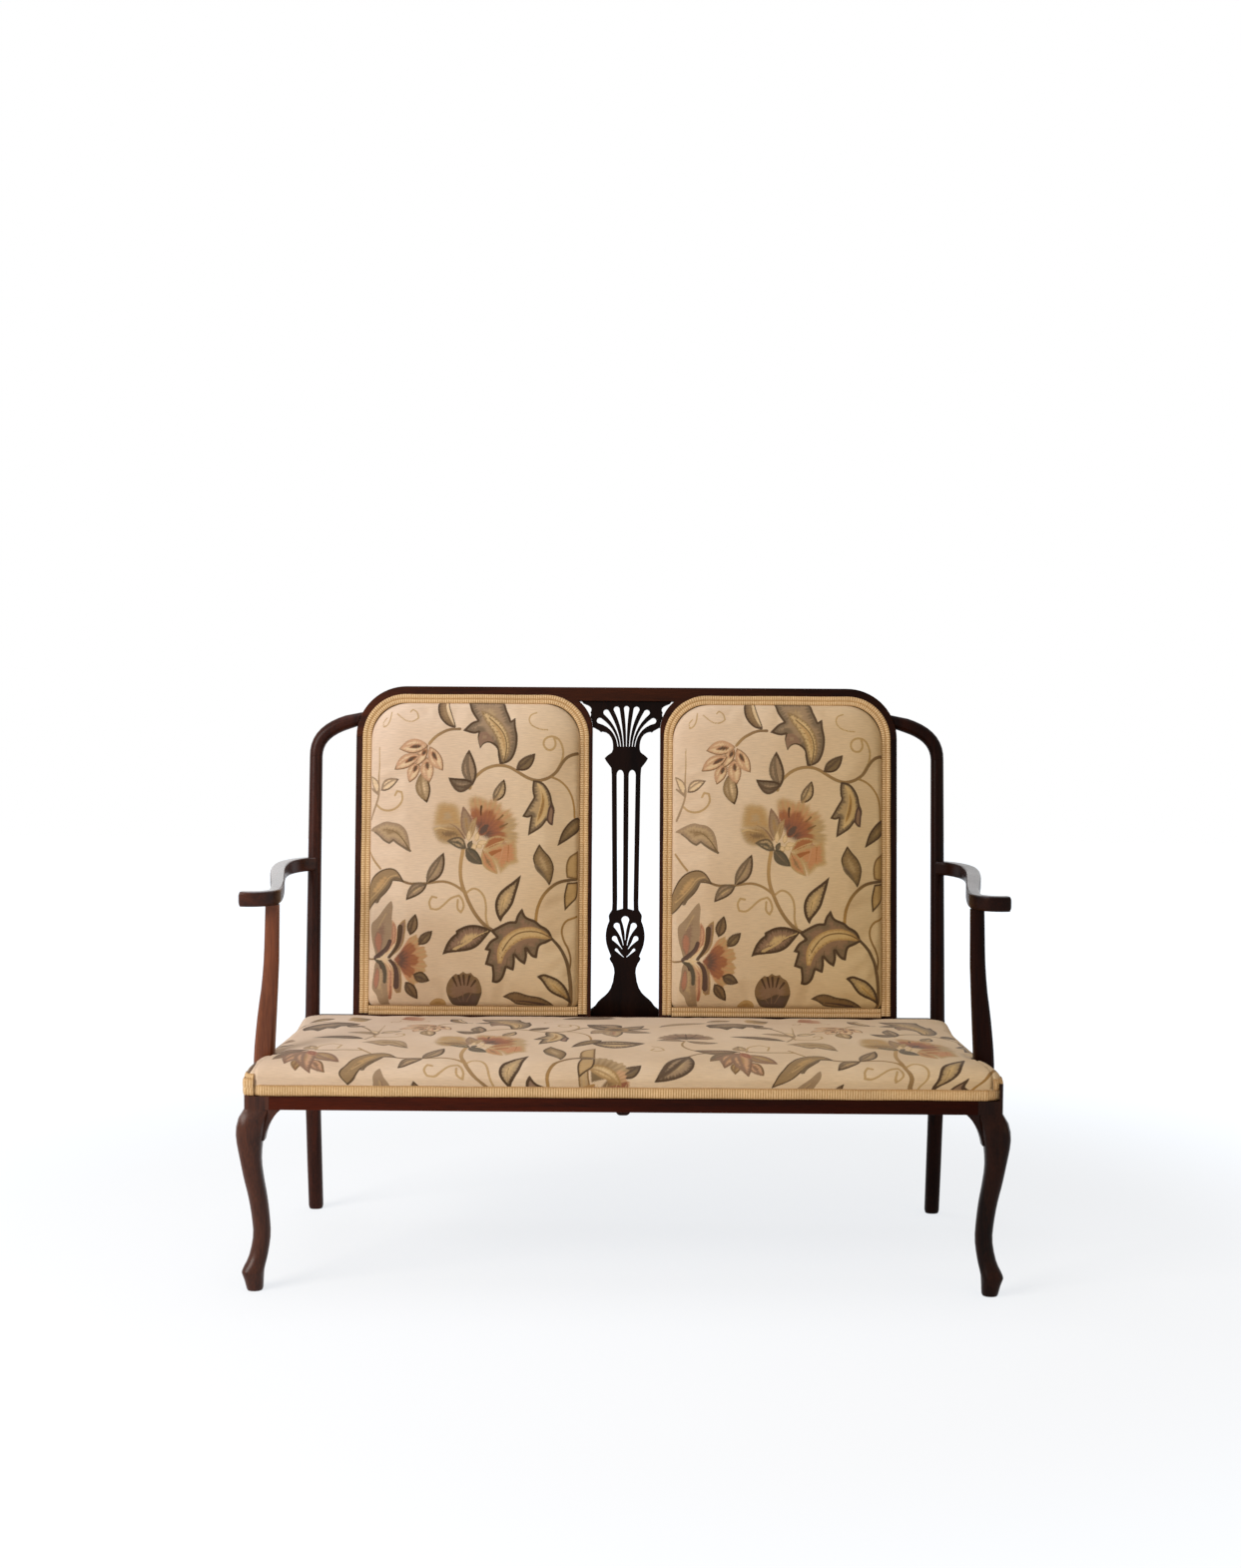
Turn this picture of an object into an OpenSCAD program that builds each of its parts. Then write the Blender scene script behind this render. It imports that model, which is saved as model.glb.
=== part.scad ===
// Two-seat salon settee with cabriole front legs, a pierced centre splat and two stuffed back panels.
// The origin is on the floor, midway between the sides and between the frontmost and rearmost points.
// +X is to the right of someone facing the front, +Y points to the back and +Z up.

/* [Seat frame] */
// Width over the front corners of the seat frame
seat_w = 1250; // [1150:10:1400]
// Width over the outsides of the rear posts at seat height
seat_back_w = 1208; // [1120:2:1230]
// Depth from the front rail's face to the back's front face at seat height
seat_d = 476; // [430:2:540]
// Height of the rails' underside above the floor
rail_z = 304; // [270:2:340]
// Height of the seat rails
rail_h = 42; // [36:1:60]
// Thickness of the seat rails
rail_t = 22; // [18:1:26]
// Show-wood left below the gimp on the seat rails
show_h = 22.5; // [15:0.5:30]
// Width of the centre rail under the seat
centre_rail_w = 24; // [18:1:40]
// How far the centre rail hangs below the other rails
centre_drop = 10; // [6:0.5:16]

/* [Front legs] */
// Side of the square block at the top of a front leg
leg_top = 42; // [38:1:50]
// Radius on the outer corner of that block
leg_corner_r = 6; // [3:0.5:6]
// Length of an ear bracket along its rail
ear_l = 19; // [12:1:26]
// Drop of an ear bracket down the leg
ear_h = 52; // [40:1:64]

/* [Back frame] */
// Height of the back, measured up its slope from the seat line
back_h = 622; // [560:2:700]
// Height of the seat line above the floor, where the back starts
seat_z = 381; // [372:1:400]
// Lean of the back from upright, in degrees
rake = 5.8; // [3:0.2:9]
// Width over the two stuffed panels' frames
frame_w = 1024; // [960:4:1040]
// Width of the space that the splat stands in
splat_gap = 128; // [120:2:160]
// Thickness of the back frame
frame_t = 24; // [22:1:28]
// Radius of the crest rail's ends
crest_r = 95; // [70:1:110]
// Show-wood left outside the gimp at the outer stiles
show_out = 15; // [12:0.5:22]
// Show-wood left beside the gimp at the inner stiles
show_in = 9.5; // [8:0.5:14]
// Show-wood left above the gimp on the crest rail
show_top = 18; // [14:0.5:26]
// Tacking margin of the frame behind the gimp
tack_w = 25; // [20:1:32]
// Height of the lower back rail
low_rail_h = 26; // [22:1:28]

/* [Rear posts] */
// Radius of a rear post at the seat line
post_r = 13.8; // [12:0.2:15]
// Radius of a rear post where the shoulder starts
post_top_r = 12.2; // [9:0.2:13]
// Radius of the shoulder where it meets the crest rail
shoulder_r = 13.6; // [12:0.2:15]
// Half width of a post between the seat rails
post_block = 14.5; // [13.5:0.1:15.5]
// Height of the shoulder joint, measured up the slope
joint_v = 488; // [420:2:500]
// How far a rear foot stands behind the post at rail height
foot_splay = 43; // [20:1:60]

/* [Arms] */
// Height of the arm's top at its front end
arm_front_z = 658; // [620:2:690]
// Height of the arm's top at the rear post
arm_rear_z = 676; // [630:2:700]
// Thickness of an arm
arm_t = 25.5; // [20:0.5:28]
// Width of an arm behind its support
arm_w = 26; // [22:1:30]
// Width of an arm over its support
arm_neck_w = 21; // [18:1:24]
// How far an arm bows out past its post
arm_bow = 46; // [32:1:56]
// How far the arm's front end turns out past its neck
arm_roll = 51; // [38:1:60]
// How far the arm's front end reaches in front of its support
arm_lead = 33; // [26:1:40]
// Distance from the front rail's face to the middle of the arm support
support_y = 98; // [90:1:120]
// Depth of an arm support at the seat
support_d = 30; // [26:1:36]

/* [Upholstery] */
// Height of the seat's crown above the seat line
seat_crown = 8; // [2:1:20]
// Height of a back panel's crown in front of the frame
panel_crown = 24; // [14:1:34]
// Thickness of the cover cloth
cloth_t = 1.2; // [1:0.1:2]
// Width of the gimp braid on the seat
seat_gimp_w = 19; // [14:0.5:22]
// Width of the gimp braid on the back
back_gimp_w = 17; // [12:0.5:20]
// Thickness of the gimp braid
gimp_t = 3; // [2:0.2:4]
// Width of a strip of webbing
web_w = 50; // [40:1:60]

/* [Splat] */
// Thickness of the splat
splat_t = 10; // [8:0.5:14]
// Radius of the heads of the fan's slots
fan_head_r = 5.7; // [4.6:0.1:6]
// Width of the splat's middle stringer
stringer_w = 9.5; // [7:0.5:12]

/* [Hidden] */

$fn = 48;
SIDES = [-1, 1];
LEFT = -1;
RIGHT = 1;
dark_wood = "#35160f";
red_wood = "#4a1d12";
brown_wood = "#6b3520";
cloth = "#cdb28c";
braid = "#c9a661";
beech = "#b08a5e";
jute = "#a88a58";
hessian = "#9c8055";
steel = "#8b8882";
lining = "#b7a58a";

// Clearances and seats shared by pieces that meet
touch = 0.2;
eps = 0.01;
seat_rebate = cloth_t + gimp_t - 1.2;
front_rebate = 4;
rear_rebate = cloth_t + gimp_t - 1.2;
web_t = 1.2;
hessian_t = 0.6;
rail_top = rail_z + rail_h;
web_top = rail_top + web_t;
pad_z = web_top + hessian_t;
gimp_z = rail_z + show_h;
half_w = seat_w / 2;
// Half the width over the posts, which leave an open hoop of at least hoop_least beside the back frame
hoop_least = 40;
back_half_w = max(seat_back_w / 2, frame_w / 2 + hoop_least + 2 * post_block);
post_x = back_half_w - post_block + touch;
knee_out = 0.315 * leg_top;
top_y = seat_d + frame_t * cos(rake) + back_h * sin(rake);
middle_y = (top_y - knee_out) / 2;

// Moves a piece drawn from the front rail's face to the part's own origin
module placed() {
    translate([0, -middle_y, 0]) children();
}

// Mirrors a piece drawn for the right to the side asked for
module on(side) {
    mirror([side == LEFT ? 1 : 0, 0, 0]) children();
}

// Point on the leaning back: x across, w behind its front face and v up its slope
function leaning(x, w, v) =
    [x, seat_d + w * cos(rake) + v * sin(rake), seat_z - w * sin(rake) + v * cos(rake)];

// Stands a piece drawn in x, w and v on the lean of the back
module lean() {
    translate([0, seat_d, seat_z]) rotate([-rake, 0, 0]) children();
}

// Board cut to a flat outline in x and v, from depth w for a thickness t
module board(w, t) {
    translate([0, w + t, 0]) rotate([90, 0, 0]) linear_extrude(t) children();
}

// Solid skinned over rings of points, each with the same number of points, with flat ends
function skin_walls(n, m) = [for (i = [0:m - 2], j = [0:n - 1])
    let (a = i * n + j, b = i * n + (j + 1) % n) each [[a, b + n, b], [a, a + n, b + n]]];
module skin(rings) {
    n = len(rings[0]);
    m = len(rings);
    first = [for (j = [0:n - 1]) j];
    last = [for (j = [n - 1:-1:0]) (m - 1) * n + j];
    polyhedron([for (r = rings) each r], concat(skin_walls(n, m), [first], [last]), convexity = 8);
}

// The same with ends that fan out from the middle of the first and last ring
function mean(ring, c) = [for (p = ring) 1] * [for (p = ring) p[c]] / len(ring);
module cushion(rings) {
    n = len(rings[0]);
    m = len(rings);
    first = [for (j = [0:n - 1]) [m * n, j, (j + 1) % n]];
    last = [for (j = [0:n - 1]) [m * n + 1, (m - 1) * n + (j + 1) % n, (m - 1) * n + j]];
    ends = [for (r = [rings[0], rings[m - 1]]) [mean(r, 0), mean(r, 1), mean(r, 2)]];
    polyhedron(concat([for (r = rings) each r], ends), concat(skin_walls(n, m), first, last), convexity = 8);
}

// Smooth curve through stations [t, value, ...], read in column c
function stretch(t, k, i = 0) = i >= len(k) - 2 || t <= k[i + 1][0] ? i : stretch(t, k, i + 1);
function slope(k, i, c) =
    let (a = k[max(i - 1, 0)], b = k[min(i + 1, len(k) - 1)]) (b[c] - a[c]) / (b[0] - a[0]);
function curve(t, k, c) =
    let (i = stretch(t, k), h = k[i + 1][0] - k[i][0], s = (t - k[i][0]) / h, r = 1 - s)
    k[i][c] * (1 + 2 * s) * r * r + slope(k, i, c) * h * s * r * r
    + k[i + 1][c] * s * s * (3 - 2 * s) - slope(k, i + 1, c) * h * s * s * r;

function unit(p) = p / norm(p);
function bezier2(a, b, c, t) = a * (1 - t) * (1 - t) + b * 2 * t * (1 - t) + c * t * t;
function bezier3(a, b, c, d, t) =
    a * pow(1 - t, 3) + b * 3 * t * pow(1 - t, 2) + c * 3 * t * t * (1 - t) + d * pow(t, 3);

// Radius of a squared circle of half width 1 at an angle: 2 is round and more is squarer
function squared(angle, power) =
    pow(pow(abs(cos(angle)), power) + pow(abs(sin(angle)), power), -1 / power);

// Corner p between neighbours a and b, moved inwards by d
function inset_corner(p, a, b, d) =
    let (u = unit(a - p), w = unit(b - p)) p + unit(u + w) * d / sin(acos(u * w) / 2);
// Arc of radius r in that corner, in k steps
function fillet(p, a, b, r, k) =
    let (u = unit(a - p), w = unit(b - p), half = acos(u * w) / 2,
        c = p + unit(u + w) * r / sin(half), s = p + u * r / tan(half) - c,
        e = p + w * r / tan(half) - c, from = atan2(s[1], s[0]), turn = atan2(e[1], e[0]) - from,
        sweep = turn > 180 ? turn - 360 : turn < -180 ? turn + 360 : turn)
    [for (i = [0:k]) c + r * [cos(from + sweep * i / k), sin(from + sweep * i / k)]];
// Closed outline inset by d from corners c, with radii r, k steps in a corner and div parts in an edge
function loop(c, d, r, k, div) =
    let (n = len(c), q = [for (i = [0:n - 1]) inset_corner(c[i], c[(i + n - 1) % n], c[(i + 1) % n], d)],
        arcs = [for (i = [0:n - 1]) fillet(q[i], q[(i + n - 1) % n], q[(i + 1) % n], r[i], k)])
    [for (i = [0:n - 1]) let (from = arcs[i][k], to = arcs[(i + 1) % n][0])
        each concat(arcs[i], [for (j = [1:1:div[i] - 1]) from + (to - from) * j / div[i]])];

// Seat frame in plan: the sides run in from the front corners to the posts
function side_x(y) = half_w - (half_w - back_half_w) * y / seat_d;
side_angle = atan((half_w - back_half_w) / seat_d);
post_rail_y = seat_d + frame_t / 2 + (rail_z + rail_h / 2 - seat_z) * tan(rake);
seat_end_y = post_rail_y - post_block - 0.8;
rear_rail_y = post_rail_y - rail_t / 2;
seat_wide = 2 * max(half_w, back_half_w);
seat_corners = [[side_x(0), 0], [side_x(seat_end_y), seat_end_y],
    [-side_x(seat_end_y), seat_end_y], [-side_x(0), 0]];
cover_corner_r = 24;
horn = 6.5;
horn_h = 9;
function seat_plan(inset, r_front, r_back, k = 5) =
    loop(seat_corners, inset, [r_front, r_back, r_back, r_front], k, [4, 10, 4, 10]);

// Front leg. Stations up the leg: height, how far it stands out past the corner, how far
// its inner side lies in from the corner, squareness and point of the toe, as shares
// of the rail height and of the block's side.
leg_shape = [
    [0.000, -0.075, 0.665, 2.2, 0.00],
    [0.010, -0.045, 0.695, 2.3, 0.02],
    [0.060, 0.025, 0.715, 2.4, 0.06],
    [0.100, 0.095, 0.735, 2.5, 0.12],
    [0.112, 0.095, 0.745, 2.4, 0.12],
    [0.140, 0.020, 0.785, 2.2, 0.08],
    [0.180, -0.110, 0.850, 2.1, 0.03],
    [0.290, -0.255, 0.950, 2.1, 0.00],
    [0.390, -0.220, 0.925, 2.2, 0.00],
    [0.510, -0.105, 0.845, 2.4, 0.00],
    [0.620, 0.050, 0.735, 2.6, 0.00],
    [0.720, 0.165, 0.670, 2.8, 0.00],
    [0.820, 0.285, 0.720, 3.0, 0.00],
    [0.880, 0.315, 0.800, 3.2, 0.00],
    [0.940, 0.260, 0.900, 3.6, 0.00],
    [0.975, 0.130, 0.960, 5.0, 0.00],
    [1.000, 0.000, 1.000, 9.0, 0.00]];
knee_steps = [0.775, 0.82, 0.865, 0.91, 0.955, 0.985];
leg_steps = concat([0, 0.005, 0.01, 0.035, 0.06, 0.085, 0.1, 0.106, 0.112, 0.125, 0.14, 0.16],
    [for (i = [0:12]) 0.19 + i * 0.045], knee_steps);
function leg_ring(t) =
    let (out = curve(t, leg_shape, 1) * leg_top, back = curve(t, leg_shape, 2) * leg_top,
        c = (back - out) / 2, r = (back + out) / 2)
    [for (i = [0:23]) let (a = i * 15, toe = pow(max(0, cos(a + 45)), 6),
        q = r * squared(a, curve(t, leg_shape, 3)) * (1 + curve(t, leg_shape, 4) * toe))
        [half_w - c + q * cos(a), c + q * sin(a), t * rail_z]];

// The leg runs a little way up into its block, narrowing to a share of its size
root_h = 12;
root_share = 0.7;
leg_root = [for (p = leg_ring(1)) let (c = [half_w - leg_top / 2, leg_top / 2])
    [c[0] + root_share * (p[0] - c[0]), c[1] + root_share * (p[1] - c[1]), rail_z + root_h]];
module leg_body(steps) {
    skin(concat([for (t = steps) leg_ring(t)], [leg_root]));
}

// Outline of the block on top of a front leg, inset on its two outer sides
function block_plan(inset, r) =
    let (x = side_x(leg_top)) concat(
        fillet([half_w - inset, inset], [half_w - inset - leg_top, inset], [x - inset, leg_top], r, 6),
        [[x - inset, leg_top], [half_w - leg_top, leg_top], [half_w - leg_top, inset]]);

module front_leg(side) {
    color(side == LEFT ? red_wood : dark_wood) placed() on(side) {
        leg_body(leg_steps);
        translate([0, 0, rail_z]) linear_extrude(show_h) polygon(block_plan(0, leg_corner_r));
        translate([0, 0, gimp_z]) linear_extrude(rail_top - gimp_z)
            polygon(block_plan(seat_rebate, cover_corner_r));
        translate([0, 0, gimp_z]) linear_extrude(rail_h - show_h + horn_h) intersection() {
            polygon(block_plan(0, leg_corner_r));
            translate([half_w - horn, 0]) square([horn, horn]);
        }
    }
}

// Ear bracket: two straight sides with a hollow curve between them
module ear_outline() {
    polygon(concat([[-leg_top / 2, 0]],
        [for (i = [0:8]) bezier2([ear_l, 0], [-3, -0.36 * ear_h], [-0.2 * leg_top, -ear_h], i / 8)],
        [[-leg_top / 2, -ear_h]]));
}

module front_ear(side) {
    color(red_wood) placed() on(side) difference() {
        translate([half_w - leg_top, rail_t, rail_z - eps]) rotate([90, 0, 0])
            linear_extrude(rail_t - 2) mirror([1, 0]) ear_outline();
        leg_body(knee_steps);
    }
}

module side_ear(side) {
    color(red_wood) placed() on(side) difference() {
        translate([side_x(leg_top) - 2, leg_top, rail_z - eps]) rotate([90, 0, -90])
            linear_extrude(rail_t - 2) mirror([1, 0]) ear_outline();
        leg_body(knee_steps);
    }
}

module front_rail() {
    span = seat_w - 2 * leg_top;
    color(red_wood) placed() difference() {
        union() {
            translate([-span / 2, 0, rail_z]) cube([span, rail_t, show_h]);
            translate([-span / 2, seat_rebate, rail_z]) cube([span, rail_t - seat_rebate, rail_h]);
        }
        for (s = SIDES) on(s) front_block_screws() screw_bore(front_block_leg);
    }
}

// Plan of a side rail between inset faces, from the leg block to the post
function side_plan(out, thick) =
    let (a = leg_top, b = seat_end_y)
    [[side_x(a) - out, a], [side_x(b) - out, b], [side_x(b) - thick, b], [side_x(a) - thick, a]];

module side_rail(side) {
    color(dark_wood) placed() on(side) difference() {
        union() {
            translate([0, 0, rail_z]) linear_extrude(show_h) polygon(side_plan(0, rail_t));
            translate([0, 0, rail_z]) linear_extrude(rail_h) polygon(side_plan(seat_rebate, rail_t));
        }
        translate([side_x(support_y) - support_lap - touch, support_y - support_d / 2, support_foot_z])
            cube([2 * support_lap, support_d, rail_h]);
        support_screw_places() {
            translate([0, 0, -rail_t]) cylinder(h = rail_t, r = screw_r + 0.1);
            translate([0, 0, -rail_t]) cylinder(h = support_lap + screw_seat, r = screw_head_r);
        }
        front_block_screws() screw_bore(front_block_leg);
        rear_block_screws() screw_bore(rear_block_leg);
    }
}

module rear_rail() {
    span = 2 * (post_x - post_block - touch);
    color(dark_wood) placed() difference() {
        union() {
            translate([-span / 2, rear_rail_y, rail_z]) cube([span, rail_t - seat_rebate, rail_h]);
            translate([-span / 2, rear_rail_y, rail_z]) cube([span, rail_t, show_h]);
        }
        for (s = SIDES) on(s) rear_block_screws() screw_bore(rear_block_leg);
    }
}

// Centre rail: a bar with a rounded lower edge, housed between the front and rear rails below the webbing
centre_low = 12;
module centre_rail() {
    length = rear_rail_y - rail_t - 2 * touch;
    depth = rail_h - centre_low + centre_drop;
    color(red_wood) placed() translate([0, rail_t + touch + length, rail_z - centre_drop]) rotate([90, 0, 0])
        linear_extrude(length) {
            translate([-centre_rail_w / 2, centre_rail_w / 3])
                square([centre_rail_w, depth - centre_rail_w / 3]);
            translate([-centre_rail_w / 6, 0]) square([centre_rail_w / 3, depth]);
            for (s = SIDES) translate([s * centre_rail_w / 6, centre_rail_w / 3]) circle(centre_rail_w / 3);
        }
}

// Corner blocks: triangles glued and screwed into the frame's inner corners
front_block_leg = 62;
rear_block_leg = 58;
block_h = 26;
block_z = rail_z + 6;
front_inside = [side_x(rail_t) - rail_t - touch, rail_t + touch];
rear_inside = [side_x(rear_rail_y) - rail_t - touch, rear_rail_y - touch];
screw_r = 2;
screw_head_r = 4;
screw_sink = 4.5;
screw_bite = 12;
screw_share = 0.62;
screw_seat = 2;

// Places of a block's two screws, one into each rail, pointing into the wood from the slanted face
module block_screws(inside, leg, back) {
    near = (1 - screw_share) * leg;
    far = screw_share * leg;
    translate([0, 0, block_z + block_h / 2]) {
        translate([inside[0] - far, inside[1] - back * near]) rotate([-90 * back, 0, 0]) children();
        translate([inside[0] - near, inside[1] - back * far]) rotate([0, 90, 0]) children();
    }
}
module front_block_screws() {
    block_screws(front_inside, front_block_leg, -1) children();
}
module rear_block_screws() {
    block_screws(rear_inside, rear_block_leg, 1) children();
}
function screw_reach(leg) = (1 - screw_share) * leg + screw_bite;
module screw_bore(leg) {
    cylinder(h = screw_reach(leg) + 0.5, r = screw_r + 0.1);
}
module screw_sinking() {
    translate([0, 0, -rail_t]) cylinder(h = rail_t + screw_sink + touch, r = screw_head_r + touch);
    translate([0, 0, screw_sink]) cylinder(h = 2.2, r1 = screw_head_r + touch, r2 = screw_r + 0.1);
}
module wood_screw(leg) {
    translate([0, 0, screw_sink]) cylinder(h = 2, r1 = screw_head_r, r2 = screw_r);
    translate([0, 0, screw_sink]) cylinder(h = screw_reach(leg) - screw_sink - 3, r = screw_r);
    translate([0, 0, screw_reach(leg) - 3 - eps]) cylinder(h = 3, r1 = screw_r, r2 = 0.4);
}

module front_block() {
    p = front_inside;
    lean_in = front_block_leg * tan(side_angle);
    difference() {
        translate([0, 0, block_z]) linear_extrude(block_h)
            polygon([p, [p[0] - front_block_leg, p[1]], [p[0] - lean_in, p[1] + front_block_leg]]);
        translate([half_w - leg_top - touch, -1, rail_z])
            cube([leg_top, leg_top + 1 + touch, rail_h]);
        front_block_screws() {
            screw_bore(front_block_leg);
            screw_sinking();
        }
    }
}

module front_corner_blocks() {
    color(beech) placed() for (s = SIDES) on(s) front_block();
}

module rear_block() {
    p = rear_inside;
    lean_out = rear_block_leg * tan(side_angle);
    difference() {
        translate([0, 0, block_z]) linear_extrude(block_h)
            polygon([p, [p[0] - rear_block_leg, p[1]], [p[0] + lean_out, p[1] - rear_block_leg]]);
        translate([post_x - post_block - touch, p[1] - post_block, rail_z])
            cube([leg_top, leg_top, rail_h]);
        rear_block_screws() {
            screw_bore(rear_block_leg);
            screw_sinking();
        }
    }
}

module rear_corner_blocks() {
    color(beech) placed() for (s = SIDES) on(s) rear_block();
}

module corner_block_screws() {
    color(steel) placed() for (s = SIDES) on(s) {
        front_block_screws() wood_screw(front_block_leg);
        rear_block_screws() wood_screw(rear_block_leg);
    }
}

// Rear post: a leg that sweeps back to the floor, square between the rails and round above
post_knee_z = rail_z + 25;
function post_y(z) =
    let (rail_y = seat_d + frame_t / 2 + (post_knee_z - seat_z) * tan(rake))
    z > post_knee_z ? rail_y + (z - post_knee_z) * tan(rake)
    : rail_y + foot_splay * pow((post_knee_z - z) / post_knee_z, 1.35);
post_shape = [
    [0.00, post_r - 1.6, 2.4],
    [0.02, post_r, 2.4],
    [0.60, post_r + 0.3, 2.6],
    [0.95, post_block - 0.3, 5.0],
    [1.14, post_block, 6.0],
    [1.22, post_r + 0.2, 2.6]];
post_steps = concat([0, 0.008, 0.02, 0.1], [for (i = [0:7]) 0.2 + i * 0.1], [0.95, 1, 1.07, 1.14, 1.18]);
function post_ring(x, y, z, r, power) =
    [for (i = [0:19]) let (a = i * 18, q = r * squared(a, power)) [x + q * cos(a), y + q * sin(a), z]];
function round_ring(x, w, v, r, tilt = 0) = [for (i = [0:19]) let (a = i * 18)
    leaning(x + r * cos(a) * cos(tilt), w + r * sin(a), v + r * cos(a) * sin(tilt))];

module post_body() {
    lower = [for (t = post_steps) let (z = t * rail_z)
        post_ring(post_x, post_y(z), z, curve(t, post_shape, 1), curve(t, post_shape, 2))];
    upper = [for (i = [0:6]) let (t = i / 6)
        round_ring(post_x, frame_t / 2, t * joint_v, post_r + (post_top_r - post_r) * t)];
    skin(concat(lower, upper));
}

module rear_post(side) {
    color(dark_wood) placed() on(side) post_body();
}

// Shoulder: the hoop that carries a post over into the crest rail, its end fitted to the crest's curve
function crest_side(v) = frame_w / 2 - crest_r + sqrt(pow(crest_r + touch, 2) - pow(max(0, v - arch_v), 2));
function on_crest(w, v) = leaning(crest_side(v), w, v);
hoop_rise = 0.5225 * (back_h - joint_v);
hoop_standoff = 9;
module shoulder(side) {
    from = [post_x, joint_v];
    to = [crest_side(joint_v + hoop_rise) + hoop_standoff, joint_v + hoop_rise];
    a = from + [0, 0.514 * hoop_rise];
    b = from + [-0.312 * (from[0] - to[0]), 0.814 * hoop_rise];
    hoop = [for (i = [0:9]) let (t = i / 10, p = bezier3(from, a, b, to, t),
        d = bezier2(a - from, b - a, to - b, t),
        r = lerp(post_top_r, shoulder_r, sin(90 * min(1, 1.5 * t))))
        round_ring(p[0], frame_t / 2, p[1], r, atan2(d[1], d[0]) - 90)];
    seat = [for (share = [1, 0.3]) let (r = share * shoulder_r)
        [for (i = [0:19]) on_crest(frame_t / 2 + r * sin(i * 18), to[1] + 2 + r * cos(i * 18))]];
    color(dark_wood) placed() on(side) cushion(concat(hoop, seat));
}

// Flat outlines of the back frame, in x across and v up the slope
arch_v = back_h - crest_r;
panel_in = splat_gap / 2 + show_in;
panel_out = frame_w / 2 - show_out;
panel_low = 4;
rail_v = 0.5;
panel_top = back_h - show_top;
panel_r = crest_r - show_out - 1;
panel_spring = panel_top - panel_r;
module arch(left, right, low, top, r) {
    translate([left, low]) square([right - left, top - r - low]);
    translate([left + r, low]) square([right - left - 2 * r, top - low]);
    for (x = [left + r, right - r]) translate([x, top - r]) circle(r, $fn = 96);
}
module frame_outline() {
    arch(-frame_w / 2, frame_w / 2, rail_v, back_h, crest_r);
}
module panel_outline(inset) {
    arch(panel_in + inset, panel_out - inset, panel_low + inset, panel_top - inset, panel_r - inset);
}

// Cuts the panel's opening and its two rebates through whatever frame member is given
module framed() {
    difference() {
        board(0, frame_t) children();
        for (s = SIDES) on(s) {
            board(-1, frame_t + 2) panel_outline(tack_w);
            board(-1, 1 + front_rebate) panel_outline(-touch);
            board(frame_t - rear_rebate, rear_rebate + 1) panel_outline(-touch);
        }
        dowel_set(dowel_r + 0.05);
    }
}

// The hoop of wood round the inner corner of each panel leaves a space for the splat's head
hoop_wood = 9;
hoop_up = 16;
head_drop = 26;
hoop_r = panel_r - hoop_wood;
hoop_v = panel_spring + hoop_up;
head_top = back_h - head_drop;
module splat_space() {
    difference() {
        translate([-splat_gap / 2 - hoop_r, 0]) square([splat_gap + 2 * hoop_r, head_top]);
        for (s = SIDES) on(s) {
            translate([splat_gap / 2 + hoop_r, hoop_v]) circle(hoop_r, $fn = 96);
            translate([splat_gap / 2, 0]) square([frame_w, hoop_v]);
        }
    }
}

dowel_r = 4.5;
dowel_l = 40;
stile_x = [(splat_gap / 2 + panel_in + tack_w) / 2, (panel_out - tack_w + frame_w / 2) / 2];
module dowel_set(r) {
    for (s = SIDES, x = stile_x, d = [-8, 8], v = [rail_v, panel_spring])
        translate([s * x + d, frame_t / 2, v - dowel_l / 2 + (v > 100 ? 0 : 5)]) cylinder(h = dowel_l, r = r);
}
module frame_dowels() {
    color(beech) placed() lean() dowel_set(dowel_r);
}

module crest_rail() {
    color(dark_wood) placed() lean() framed() difference() {
        frame_outline();
        translate([-frame_w, -1]) square([2 * frame_w, panel_spring + 1]);
        splat_space();
    }
}

module outer_stile(side) {
    color(dark_wood) placed() lean() on(side) framed()
        translate([panel_out - tack_w, rail_v]) square([show_out + tack_w, panel_spring - rail_v]);
}

module inner_stile(side) {
    color(dark_wood) placed() lean() on(side) framed()
        translate([splat_gap / 2, rail_v]) square([show_in + tack_w, panel_spring - rail_v]);
}

module panel_rail(side) {
    color(dark_wood) placed() lean() on(side) framed()
        translate([panel_in + tack_w + touch, rail_v])
            square([panel_out - panel_in - 2 * tack_w - 2 * touch, panel_low - rail_v + tack_w]);
}

module back_lower_rail() {
    span = 2 * (post_x - post_block);
    color(dark_wood) placed() lean() difference() {
        board(0, frame_t) translate([-span / 2, rail_v - low_rail_h]) square([span, low_rail_h]);
        dowel_set(dowel_r + 0.05);
    }
}

// The splat's ornament is drawn 63.8 wide from the middle and from 0.5 to 596 high, and fitted to its space
foot_w = splat_gap / 2 - touch;
splat_fit = [foot_w / 63.8, (head_top - rail_v) / (596 - 0.5)];
function fitted(p) = [p[0] * splat_fit[0], rail_v + (p[1] - 0.5) * splat_fit[1]];
function lerp(a, b, t) = a + (b - a) * t;

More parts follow.
